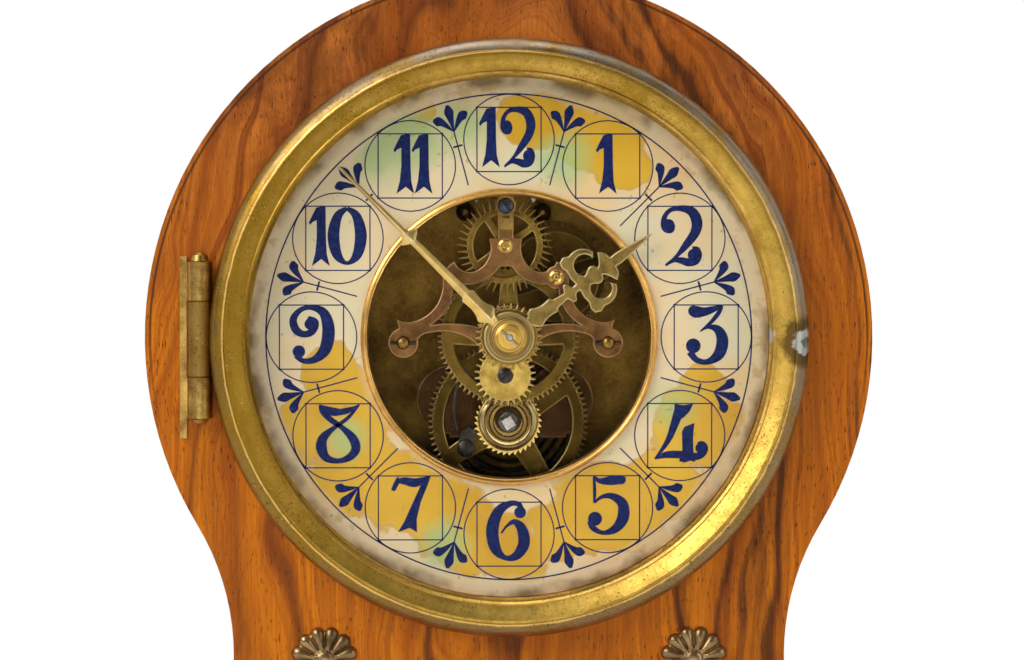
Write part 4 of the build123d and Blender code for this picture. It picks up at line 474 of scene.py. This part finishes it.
finishes = {
    "walnut": walnut("walnut", (0.84, 0.245, 0.003), (0.46, 0.105, 0.002),
                     ((0.58, 0.172, 0.022), (0.25, 0.055, 0.010))),
    "walnut_dark": walnut("walnut_dark", (0.36, 0.095, 0.008), (0.19, 0.045, 0.005)),
    "side_band": walnut("walnut_side", (0.56, 0.155, 0.006), (0.32, 0.075, 0.003)),
    "plain_wood": bare_wood("plain_wood", (0.42, 0.20, 0.065), (0.22, 0.090, 0.026)),
    "bezel_brass": bezel_brass(),
    "dark_brass": metal("dark_brass", (0.50, 0.33, 0.15), (0.14, 0.075, 0.03), 0.24),
    "aged_brass": metal("aged_brass", (0.56, 0.35, 0.09), (0.20, 0.11, 0.028), 0.26),
    "rim_brass": metal("rim_brass", (1.0, 0.60, 0.18), (0.60, 0.33, 0.08), 0.22, dirt=0.15),
    "gold_brass": metal("gold_brass", (1.0, 0.66, 0.16), (0.66, 0.36, 0.06), 0.18, patches=300, dirt=0.15),
    # the movement's plate, bridge and wheel finishes are dark: partly the brass's own tarnish, partly
    # painted shade for the inside of the case
    "plate_brass": metal("plate_brass", (0.36, 0.20, 0.035), (0.11, 0.055, 0.012), 0.36, patches=45),
    "copper_brass": metal("copper_brass", (0.40, 0.20, 0.065), (0.17, 0.075, 0.026), 0.28, patches=160,
                          dirt=0.6, edge=(1.0, 0.62, 0.30), deep=True),
    "wheel_brass": metal("wheel_brass", (0.42, 0.255, 0.045), (0.15, 0.082, 0.016), 0.24, dirt=0.5,
                         edge=(1.0, 0.72, 0.24), deep=True),
    "hand_brass": metal("hand_brass", (1.0, 0.66, 0.18), (0.66, 0.41, 0.09), 0.26, patches=110, dirt=0.12,
                        edge=(1.0, 0.86, 0.50)),
    "bright_steel": metal("bright_steel", (0.62, 0.58, 0.52), (0.30, 0.27, 0.23), 0.2, dirt=0.4, deep=True),
    "dark_steel": metal("dark_steel", (0.10, 0.085, 0.075), (0.035, 0.03, 0.026), 0.3),
    "blued_steel": metal("blued_steel", (0.10, 0.12, 0.17), (0.03, 0.035, 0.06), 0.22, patches=300,
                         dirt=0.4),
    "dial_ceramic": glazed_dial(),
    "clear_glass": clear_glass(),
    "spring": metal("spring", (0.16, 0.10, 0.04), (0.05, 0.03, 0.014), 0.3, deep=True),
    "hinge": metal("hinge", (0.80, 0.50, 0.13), (0.20, 0.10, 0.025), 0.26, patches=130, dirt=0.6),
    "minute_wheel": metal("minute_wheel_brass", (0.84, 0.56, 0.13), (0.46, 0.28, 0.055), 0.24, patches=140,
                          dirt=0.35, edge=(1.0, 0.80, 0.36)),
    "hour_hand": metal("hour_hand_brass", (0.34, 0.225, 0.060), (0.18, 0.11, 0.026), 0.24, patches=260,
                       dirt=0.2, edge=(1.0, 0.82, 0.40)),
    "back_steel": metal("back_steel", (0.52, 0.49, 0.45), (0.22, 0.20, 0.17), 0.24, patches=200),
    "bob": metal("bob_brass", (0.78, 0.52, 0.15), (0.36, 0.22, 0.05), 0.22, patches=120, dirt=0.4),
    "hub": hub_brass(),
    "ratchet": ratchet_brass(),
}
SPECIAL = {"side_band": "side_band", "mainspring": "spring", "ratchet_wheel": "ratchet",
           "minute_wheel": "minute_wheel", "hinge_leaf": "hinge", "hinge_pin": "hinge",
           "door_hinge_leaf": "hinge", "hand_collet": "hub", "click_spring": "dark_steel",
           "pendulum_bob": "bob", "rating_nut": "bob", "pendulum_rod": "back_steel",
           "crutch": "back_steel", "suspension_spring": "back_steel"}
slot_of = {}
for entry in frame["record"]["subparts"]:
    slot_of[entry["node"]] = entry["material_slot"]
for name, solid in frame["nodes"].items():
    solid.data.materials.clear()
    solid.data.materials.append(finishes[SPECIAL.get(name, slot_of[name])])


def join(name, points, faces, material, body, smooth=True):
    """One mesh piece in the row frame, riding on a CAD body."""
    mesh = bpy.data.meshes.new(name)
    mesh.from_pydata(points, [], faces)
    mesh.validate()
    mesh.materials.append(material)
    for face in mesh.polygons:
        face.use_smooth = smooth
    piece = bpy.data.objects.new(name, mesh)
    bpy.context.collection.objects.link(piece)
    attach(piece, body)
    return piece


def brush(*marks, steps=6):
    """A brush stroke through (x, z, half width) marks, as a strip of left and right points."""
    path = []
    last = len(marks) - 1
    for i in range(last):
        around = marks[max(i - 1, 0)], marks[i], marks[i + 1], marks[min(i + 2, last)]
        for k in range(steps + (i == last - 1)):
            t = k / steps
            path.append([
                0.5 * (2 * b + (c - a) * t + (2 * a - 5 * b + 4 * c - d) * t ** 2
                       + (3 * b - a - 3 * c + d) * t ** 3)
                for a, b, c, d in zip(*around)
            ])
    left, right = [], []
    for i, (x, z, half) in enumerate(path):
        before, after = path[max(i - 1, 0)], path[min(i + 1, len(path) - 1)]
        dx, dz = after[0] - before[0], after[1] - before[1]
        size = math.hypot(dx, dz) or 1
        left.append((x - dz / size * half, z + dx / size * half))
        right.append((x + dz / size * half, z - dx / size * half))
    return left, right


def disc(x, z, r, count=20):
    """The outline of a round dot."""
    turns = [2 * math.pi * k / count for k in range(count)]
    return [(x + r * math.cos(a), z + r * math.sin(a)) for a in turns]


# The numerals, in millimetres about the middle of each square: strokes, filled shapes and dots
def one():
    return [], [[(-1.2, 8.3), (1.3, 8.7), (1.4, 0), (1.6, -4.2), (2.4, -7.5), (0.1, -5.6), (-2.4, -7.5),
                 (-1.5, -4), (-1.1, 0), (-1.1, 4.9), (-2.2, 4.4), (-2.9, 3.6), (-3.2, 4.3), (-2.2, 6.4)]]


def two():
    return [
        brush((-1.7, 3.8, 0.5), (-2.5, 2.4, 1.0), (-3.9, 3.1, 1.2), (-4.2, 5.6, 0.7), (-2.6, 7.6, 0.6),
              (0.2, 8.1, 0.8), (3.2, 7.2, 1.3), (4.6, 4.4, 1.5), (4.0, 1.4, 1.3), (1.6, -1.9, 1.0),
              (-0.7, -4.6, 0.5), (-3.8, -7.4, 0.25)),
        brush((-3.9, -7.3, 0.3), (-1.6, -5.9, 0.6), (0.4, -6.0, 0.9), (2.4, -6.5, 1.1), (4.4, -6.1, 0.95),
              (5.3, -4.4, 0.7), (4.7, -2.9, 0.6), (3.4, -2.9, 0.7)),
    ], [disc(-3.1, 3.5, 1.7), disc(3.8, -4.5, 1.7)]


def three():
    return [
        brush((-4.5, 7.1, 0.8), (-3.0, 6.8, 1.6), (-0.6, 6.8, 1.2), (1.6, 7.4, 0.9), (4.5, 8.4, 0.4)),
        brush((4.3, 8.3, 0.4), (3.2, 6.3, 0.6), (1.2, 3.9, 0.5), (-1.6, 1.5, 0.2)),
        brush((-1.7, 1.5, 0.2), (0.6, 2.7, 0.5), (3.2, 1.9, 1.2), (4.4, -1.0, 1.6), (3.4, -4.7, 1.5),
              (0.4, -6.7, 0.8), (-2.6, -6.2, 0.8), (-4.4, -4.0, 1.0)),
    ], [disc(-3.5, -2.4, 2.0), disc(-3.4, 7.0, 1.5)]


def four():
    return [
        brush((-0.3, 6.4, 1.35), (-1.3, 3.4, 1.15), (-3.2, -1.4, 0.75), (-6.4, -6.0, 0.3)),
        brush((-6.8, -6.2, 0.3), (-3.5, -5.2, 0.9), (0.5, -5.2, 1.05), (4.2, -5.7, 1.0), (6.2, -4.9, 0.9),
              (6.9, -3.3, 0.8), (6.1, -2.2, 0.7), (4.9, -2.4, 0.6)),
    ], [[(-1.4, 8.6), (1.0, 8.2), (3.7, 8.6), (2.6, 6.4), (0.8, 4.6), (-1.6, 4.8)],
        [(1.3, 2.4), (4.0, 3.4), (3.6, 0), (3.7, -4), (4.2, -7.2), (2.9, -6.8), (1.6, -7.3), (-0.2, -7.0),
         (0.7, -4), (0.6, 1.0)],
        disc(5.6, -3.4, 1.4)]


def five():
    return [
        brush((-3.7, 8.5, 0.3), (-2.2, 7.3, 0.7), (0.6, 7.3, 1.2), (3.2, 7.6, 1.2), (4.9, 7.8, 0.5)),
        brush((-3.7, 8.4, 0.35), (-3.5, 4.5, 0.45), (-3.6, 1.3, 0.35)),
        brush((-3.6, 1.3, 0.3), (-1.6, 2.9, 0.5), (1.2, 3.1, 0.9), (4.0, 1.1, 1.4), (4.2, -2.6, 1.6),
              (2.2, -5.6, 1.2), (-1.0, -6.8, 0.6), (-3.8, -5.6, 0.8), (-4.7, -3.6, 0.9)),
    ], [disc(-3.4, -3.0, 1.9), disc(3.7, 7.5, 1.2)]


def six():
    return [
        brush((3.2, 5.9, 0.9), (2.8, 7.9, 0.7), (0.4, 8.3, 0.8), (-2.8, 6.2, 1.4), (-4.5, 1.4, 1.7),
              (-3.7, -3.8, 1.5), (-1.0, -6.4, 0.7), (2.0, -5.8, 1.2), (4.0, -2.6, 1.6), (3.5, 1.3, 1.4),
              (1.5, 3.3, 0.8), (-0.6, 2.2, 0.35), (-2.1, 0.2, 0.25)),
    ], [disc(3.0, 5.9, 1.6)]


def seven():
    return [
        brush((-4.7, 4.9, 0.5), (-3.6, 7.0, 0.6), (-1.6, 7.3, 1.0), (1.2, 6.8, 1.2), (4.2, 7.8, 0.7),
              (5.4, 8.5, 0.2)),
    ], [[(5.5, 8.6), (4.6, 6.0), (2.8, 1.6), (1.7, -3.0), (1.8, -6.6), (-0.2, -5.4), (-3.4, -6.6),
         (-1.6, -3.6), (-0.2, -0.4), (1.2, 2.6), (3.0, 6.6)],
        [(-5.2, 4.8), (-4.9, 5.8), (-3.9, 7.9), (-3.2, 8.6), (-3.0, 6.6), (-4.2, 4.5)]]


def eight():
    return [
        brush((-5.0, 8.3, 0.3), (-4.1, 6.5, 0.8), (-1.9, 4.3, 0.8), (1.0, 2.3, 0.7), (3.9, -0.6, 1.2),
              (4.8, -3.4, 1.25), (3.2, -5.7, 1.0), (0.0, -6.8, 0.7), (-3.2, -5.9, 1.1), (-4.5, -3.2, 1.5),
              (-3.9, -0.4, 1.2), (-1.0, 2.2, 0.6), (2.6, 4.8, 0.5), (5.7, 8.4, 0.3)),
    ], [[(-5.1, 8.5), (-2.4, 7.9), (0.6, 7.3), (4.2, 8.0), (5.9, 8.6), (4.9, 7.0), (2.4, 5.9), (-0.6, 5.3),
         (-3.4, 5.7)]]


def nine():
    return [
        brush((-1.0, 5.2, 0.6), (0.9, 3.9, 1.1), (0.1, 1.5, 1.0), (-2.1, 0.8, 0.9), (-4.2, 2.0, 1.1),
              (-4.9, 4.8, 1.0), (-3.0, 7.3, 0.7), (0.0, 8.0, 0.7), (3.3, 6.5, 1.3), (4.6, 2.0, 1.7),
              (3.7, -3.2, 1.6), (0.9, -6.0, 1.0), (-2.2, -6.4, 0.7), (-4.2, -4.9, 0.8)),
    ], [disc(-0.4, 3.5, 1.5), disc(-3.4, -3.9, 1.7)]


def nought():
    return [
        brush((0, 8.1, 0.5), (2.5, 6.0, 1.2), (3.7, 0.8, 1.6), (2.7, -4.4, 1.3), (0, -6.7, 0.5),
              (-2.7, -4.4, 1.3), (-3.7, 0.8, 1.6), (-2.5, 6.0, 1.2), (0, 8.1, 0.5)),
    ], []


# Overlapping strokes lie this far apart, in metres, so that they don't shade each other
LAYER_STEP = 0.000012


class Art:
    """Flat painted shapes on the face of the dial, gathered into one piece."""

    def __init__(self):
        self.points = []
        self.faces = []
        self.layer = 0

    def shape(self, outline, x=0.0, z=0.0, wide=1.0):
        first = len(self.points)
        self.points += [(x + u * wide, z + v, self.layer) for u, v in outline]
        self.faces.append(tuple(range(first, len(self.points))))

    def strip(self, left, right, x=0.0, z=0.0, wide=1.0):
        first = len(self.points)
        count = len(left)
        self.points += [(x + u * wide, z + v, self.layer) for u, v in left + right]
        for a in range(first, first + count - 1):
            self.faces.append((a, a + count, a + count + 1, a + 1))

    def line(self, start, end, half):
        self.strip(*brush((*start, half), (*end, half), steps=8))

    def ring(self, x, z, r, half, count=96):
        turns = [2 * math.pi * k / count for k in range(count + 1)]
        inner = [((r - half) * math.cos(a), (r - half) * math.sin(a)) for a in turns]
        outer = [((r + half) * math.cos(a), (r + half) * math.sin(a)) for a in turns]
        self.strip(inner, outer, x, z)

    def digit(self, drawing, x, z, wide=1.0):
        strokes, shapes = drawing()
        self.layer = 0
        for left, right in strokes:
            self.strip(left, right, x, z, wide)
            self.layer += 1
        for outline in shapes:
            self.shape(outline, x, z, wide)
            self.layer += 1
        self.layer = 0

    def piece(self, name, lift):
        points = []
        for x, z, layer in self.points:
            points.append((x * MM, DIAL_Y - lift - LAYER_STEP * layer, AXIS_Z + z * MM))
        return join(name, points, self.faces, blue_paint, "case", smooth=False)


def around(r, degrees):
    """The x and z at a distance and an angle from the middle."""
    return r * math.cos(math.radians(degrees)), r * math.sin(math.radians(degrees))


blue_paint = dial_blue()
NUMERAL_R = 53.3
SQUARE_HALF = 8.65
LINE_HALF = 0.16
NUMERAL_LIFT, LINE_LIFT = 0.00004, 0.00003
DIGITS = {1: one, 2: two, 3: three, 4: four, 5: five, 6: six, 7: seven, 8: eight, 9: nine}
numerals, lines = Art(), Art()
for hour in range(1, 13):
    x, z = around(NUMERAL_R, 90 - 30 * hour)
    if hour == 10:
        numerals.digit(one, x - 4.6, z)
        numerals.digit(nought, x + 2.5, z)
    elif hour == 11:
        numerals.digit(one, x - 1.3, z)
        numerals.digit(one, x + 3.6, z)
    elif hour == 12:
        numerals.digit(one, x - 4.9, z)
        numerals.digit(two, x + 2.0, z, 0.84)
    else:
        numerals.digit(DIGITS[hour], x, z)
    lines.ring(x, z, 12.2, LINE_HALF)
    reach = SQUARE_HALF + 0.3
    for side in (-1, 1):
        lines.line((x - reach, z + side * SQUARE_HALF), (x + reach, z + side * SQUARE_HALF), LINE_HALF)
        lines.line((x + side * SQUARE_HALF, z - reach), (x + side * SQUARE_HALF, z + reach), LINE_HALF)
    stem = 75 - 30 * hour
    lines.line(around(42.4, stem), around(57.8, stem), LINE_HALF * 1.1)
    tick_x, tick_z = around(53.3, stem)
    du, dv = around(1.3, stem + 90)
    lines.line((tick_x - du, tick_z - dv), (tick_x + du, tick_z + dv), LINE_HALF * 1.6)
    foot = around(57.3, stem)
    for lean in (-38, 0, 38):
        bend = 10 if lean > 0 else -10 if lean < 0 else 0
        middle = around(3.6, stem + lean)
        tip = around(6.4 if lean else 7.4, stem + lean + bend)
        full = around(5.2 if lean else 5.6, stem + lean + bend / 2)
        left, right = brush((foot[0], foot[1], 0.1), (foot[0] + middle[0], foot[1] + middle[1], 0.85),
                            (foot[0] + full[0], foot[1] + full[1], 1.25),
                            (foot[0] + tip[0], foot[1] + tip[1], 0.35))
        numerals.strip(left, right)
lines.ring(0, 0, 65.6, 0.19, 240)
numerals.piece("dial_numerals", NUMERAL_LIFT)
lines.piece("dial_lines", LINE_LIFT)


def along_hand(u, v, angle):
    """A point on a hand's face, u out along it and v to its left, in millimetres."""
    c, s = math.cos(math.radians(angle)), math.sin(math.radians(angle))
    return (u * c - v * s) * MM, AXIS_Z + (u * s + v * c) * MM


MINUTE_ANGLE = 135
HOUR_ANGLE = 36
MINUTE_BACK_Y, MINUTE_EDGE_Y, MINUTE_RIDGE_Y = -0.05205, -0.0524, -0.0530
HOUR_MIDDLE_Y = -0.0505
minute_sides = [(0, 1.2), (5.4, 1.2), (6.7, 1.35), (7.6, 2.1), (8.6, 2.85), (9.2, 2.9), (10.6, 2.2),
                (12.2, 1.85), (13.6, 1.9), (15.0, 2.05), (15.9, 2.15), (16.5, 1.4), (24, 1.25),
                (36.4, 1.0), (37.2, 2.2), (38.0, 3.1), (38.7, 2.3), (39.6, 1.15), (40.4, 0.85), (52, 0.62),
                (64.2, 0.45), (64.8, 0.15)]
points, faces = [], []
for u, half in minute_sides:
    section = ((half, MINUTE_BACK_Y), (half, MINUTE_EDGE_Y), (0, MINUTE_RIDGE_Y), (-half, MINUTE_EDGE_Y),
               (-half, MINUTE_BACK_Y))
    for v, y in section:
        x, z = along_hand(u, v, MINUTE_ANGLE)
        points.append((x, y, z))
for i in range(len(minute_sides) - 1):
    for k in range(5):
        a, b = 5 * i + k, 5 * i + (k + 1) % 5
        faces.append((a, a + 5, b + 5, b))
faces.append(tuple(range(5)))
faces.append(tuple(range(len(points) - 1, len(points) - 6, -1)))
minute_blade = join("minute_blade", points, faces, finishes["hand_brass"], "minute_hand_body",
                    False)


def arc(cx, cy, r, start, end, count):
    turns = [math.radians(start + (end - start) * k / count) for k in range(count + 1)]
    return [(cx + r * math.cos(a), cy + r * math.sin(a)) for a in turns]


# The hour hand's upper outline from the hub to the tip: shaft, knob, open crescent, bat wing and blade
hour_side = [(0, 1.3), (7.0, 1.3), (7.7, 2.1), (8.6, 2.8), (9.2, 2.85), (10.4, 2.2), (11.8, 1.9),
             (13.2, 1.9), (14.6, 2.1), (15.4, 1.3), (18.8, 0.9)]
hour_side += [(19.2, 1.6), (19.6, 2.5), (20.2, 2.8), (20.8, 2.5), (21.2, 1.5)]
hour_side += [(21.8, 0.9), (22.9, 1.0)]
hour_side += [(22.6, 3.0), (22.9, 5.2), (22.3, 6.6), (22.7, 8.3), (24.2, 8.9), (25.6, 8.3)]
hour_side += arc(27.4, 3.9, 4.6, 112, 18, 12)
hour_side += [(30.6, 4.0)]
hour_side += arc(27.8, 3.8, 2.9, 20, 235, 22)
hour_side += [(27.2, 1.9), (27.9, 2.5), (28.9, 2.65), (29.8, 2.2), (30.2, 1.1), (30.9, 1.6), (31.7, 2.8),
              (32.6, 4.6), (33.6, 3.8), (34.3, 2.9), (34.5, 1.45), (36.2, 1.55), (38.0, 1.45),
              (40.5, 1.15), (43.6, 0.75), (46.2, 0.35), (47.4, 0.05)]
outline = hour_side + [(u, -v) for u, v in reversed(hour_side)]
shape = bpy.data.curves.new("hour_outline", "CURVE")
shape.dimensions = "2D"
shape.fill_mode = "BOTH"
shape.extrude = 0.28 * MM
shape.bevel_depth = 0.18 * MM
shape.bevel_resolution = 1
shape.offset = -0.16 * MM
trace = shape.splines.new("POLY")
trace.points.add(len(outline) - 1)
for point, (u, v) in zip(trace.points, outline):
    point.co = (u * MM, v * MM, 0, 1)
trace.use_cyclic_u = True
flat = bpy.data.objects.new("hour_outline", shape)
solid = bpy.data.meshes.new_from_object(flat)
bpy.data.objects.remove(flat)
points = []
for vertex in solid.vertices:
    x, z = along_hand(vertex.co.x / MM, vertex.co.y / MM, HOUR_ANGLE)
    points.append((x, HOUR_MIDDLE_Y - vertex.co.z, z))
faces = [tuple(face.vertices) for face in solid.polygons]
hour_blade = join("hour_blade", points, faces, finishes["hour_hand"], "hour_hand_body", False)


def lathe(name, profile, x, z, material, body, count):
    """A turned piece about Y through x and z, from (radius, y) points in millimetres."""
    points, faces = [], []
    for r, y in profile:
        for k in range(count):
            turn = 2 * math.pi * k / count
            points.append((x + r * math.cos(turn) * MM, y * MM, z + r * math.sin(turn) * MM))
    for i in range(len(profile) - 1):
        for k in range(count):
            a, b = i * count + k, i * count + (k + 1) % count
            faces.append((a, a + count, b + count, b))
    return join(name, points, faces, material, body)


# Hub: a ringed boss for each hand
hub_metal = finishes["hub"]
hour_boss = [(2.85, -49.75), (6.9, -49.75), (7.0, -50.2), (7.0, -50.9), (6.7, -51.2), (6.2, -51.28),
             (5.9, -51.1), (5.6, -51.28), (2.85, -51.3)]
minute_boss = [(2.05, -52.05), (5.4, -52.05), (5.4, -53.3), (5.1, -53.75), (4.6, -53.88), (4.3, -53.6),
               (4.0, -53.55), (2.05, -53.55)]
lathe("hour_hub", hour_boss, 0, AXIS_Z, hub_metal, "hour_hand_body", 96)
lathe("minute_hub", minute_boss, 0, AXIS_Z, hub_metal, "minute_hand_body", 96)
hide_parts("minute_hand")
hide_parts("hour_hand")


def slotted(name, x, z, y, r, turn, material, body):
    """A screw head with rounded edge, with a near-black flat sheet across it as painted shade standing for
    the slot.
    """
    head = [(r, y + 0.35), (r, y + 0.14), (r - 0.14, y), (0.01, y - 0.03)]
    lathe(name, head, x, z, material, body, 40)
    # painted shade: a near-black flat sheet stands for the dark inside of the slot
    slot_shade = Finish(name + "_slot", color=(0.01, 0.008, 0.007), rough=0.7)
    c, d = math.cos(math.radians(turn)), math.sin(math.radians(turn))
    corners = []
    for u, v in ((-r * 0.93, -0.2), (r * 0.93, -0.2), (r * 0.93, 0.2), (-r * 0.93, 0.2)):
        corners.append((x + (u * c - v * d) * MM, (y - 0.05) * MM, z + (u * d + v * c) * MM))
    join(name + "_slot", corners, [(0, 1, 2, 3)], slot_shade.material, body, False)


def box_middle(node):
    """The middle, front and half width of a node's box, with the last two in millimetres."""
    low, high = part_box(node)
    return (low[0] + high[0]) / 2, (low[2] + high[2]) / 2, low[1] / MM, (high[0] - low[0]) / 2 / MM


x, z, front, r = box_middle("neck_screw")
slotted("neck_slot", x, z, front - 0.05, r * 0.96, -52, finishes["blued_steel"], "case")
x, z, front, r = box_middle("minute_stud")
slotted("stud_slot", x, z, front - 0.05, 2.05, 40, finishes["dark_steel"], "case")
x, z, front, r = box_middle("click_screw")
slotted("click_slot", x, z, front - 0.05, 2.3, 75, finishes["dark_steel"], "great_body")


ROSETTE_X, ROSETTE_Z = 49.8, 126  # millimetres
CASE_FRONT = -50


def rosette(name, centre_x, centre_z):
    """Twelve rounded petals round a domed boss."""
    petals, count, rings = 12, 192, 18
    points, faces = [], []
    for i in range(rings + 1):
        for k in range(count):
            turn = 2 * math.pi * k / count
            ridge = abs(math.sin(turn * petals / 2))
            reach = 7.6 + 1.55 * ridge ** 0.6
            r = reach * i / rings
            share = r / reach
            if r < 2.6:
                height = 1.0 + 1.05 * math.sqrt(max(0, 1 - (r / 2.6) ** 2))
            elif r < 3.2:
                height = 0.75
            else:
                body = math.sqrt(max(0, 1 - max(0, (share - 0.62) / 0.38) ** 2.4))
                height = (0.35 + 1.35 * ridge ** 0.55) * body
            points.append(((centre_x + r * math.cos(turn)) * MM, (CASE_FRONT - 0.05 - height) * MM,
                           (centre_z + r * math.sin(turn)) * MM))
    for i in range(rings):
        for k in range(count):
            a, b = i * count + k, i * count + (k + 1) % count
            faces.append((a, a + count, b + count, b))
    return join(name, points, faces, finishes["dark_brass"], "case")


left_flower = rosette("rosette_left", -ROSETTE_X, ROSETTE_Z)
rosette("rosette_right", ROSETTE_X, ROSETTE_Z)
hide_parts("rosettes")


# Floor: pale near the clock and plain white further off
floor_paint = Finish("floor", color=(0.86, 0.86, 0.85), rough=0.7)
tree = floor_paint.tree
far = floor_paint.add("ShaderNodeVectorMath", {0: floor_paint.place}, operation="LENGTH")
away = floor_paint.level(far.outputs["Value"], 0.35, 0.9)
glow = floor_paint.add("ShaderNodeEmission", {"Color": (1, 1, 1), "Strength": 1.0})
seen = floor_paint.add("ShaderNodeLightPath").outputs["Is Camera Ray"]
cover = floor_paint.add("ShaderNodeMixShader", {0: floor_paint.maths("MULTIPLY", away, seen)})
tree.links.new(floor_paint.shader.outputs[0], cover.inputs[1])
tree.links.new(glow.outputs[0], cover.inputs[2])
tree.links.new(cover.outputs[0], tree.nodes["Material Output"].inputs["Surface"])
half = 6.0  # metres from the middle to each side
ground = bpy.data.meshes.new("floor")
corners = [(-half, -half, 0), (half, -half, 0), (half, half, 0), (-half, half, 0)]
ground.from_pydata(corners, [], [(0, 1, 2, 3)])
ground.materials.append(floor_paint.material)
floor = bpy.data.objects.new("floor", ground)
bpy.context.collection.objects.link(floor)
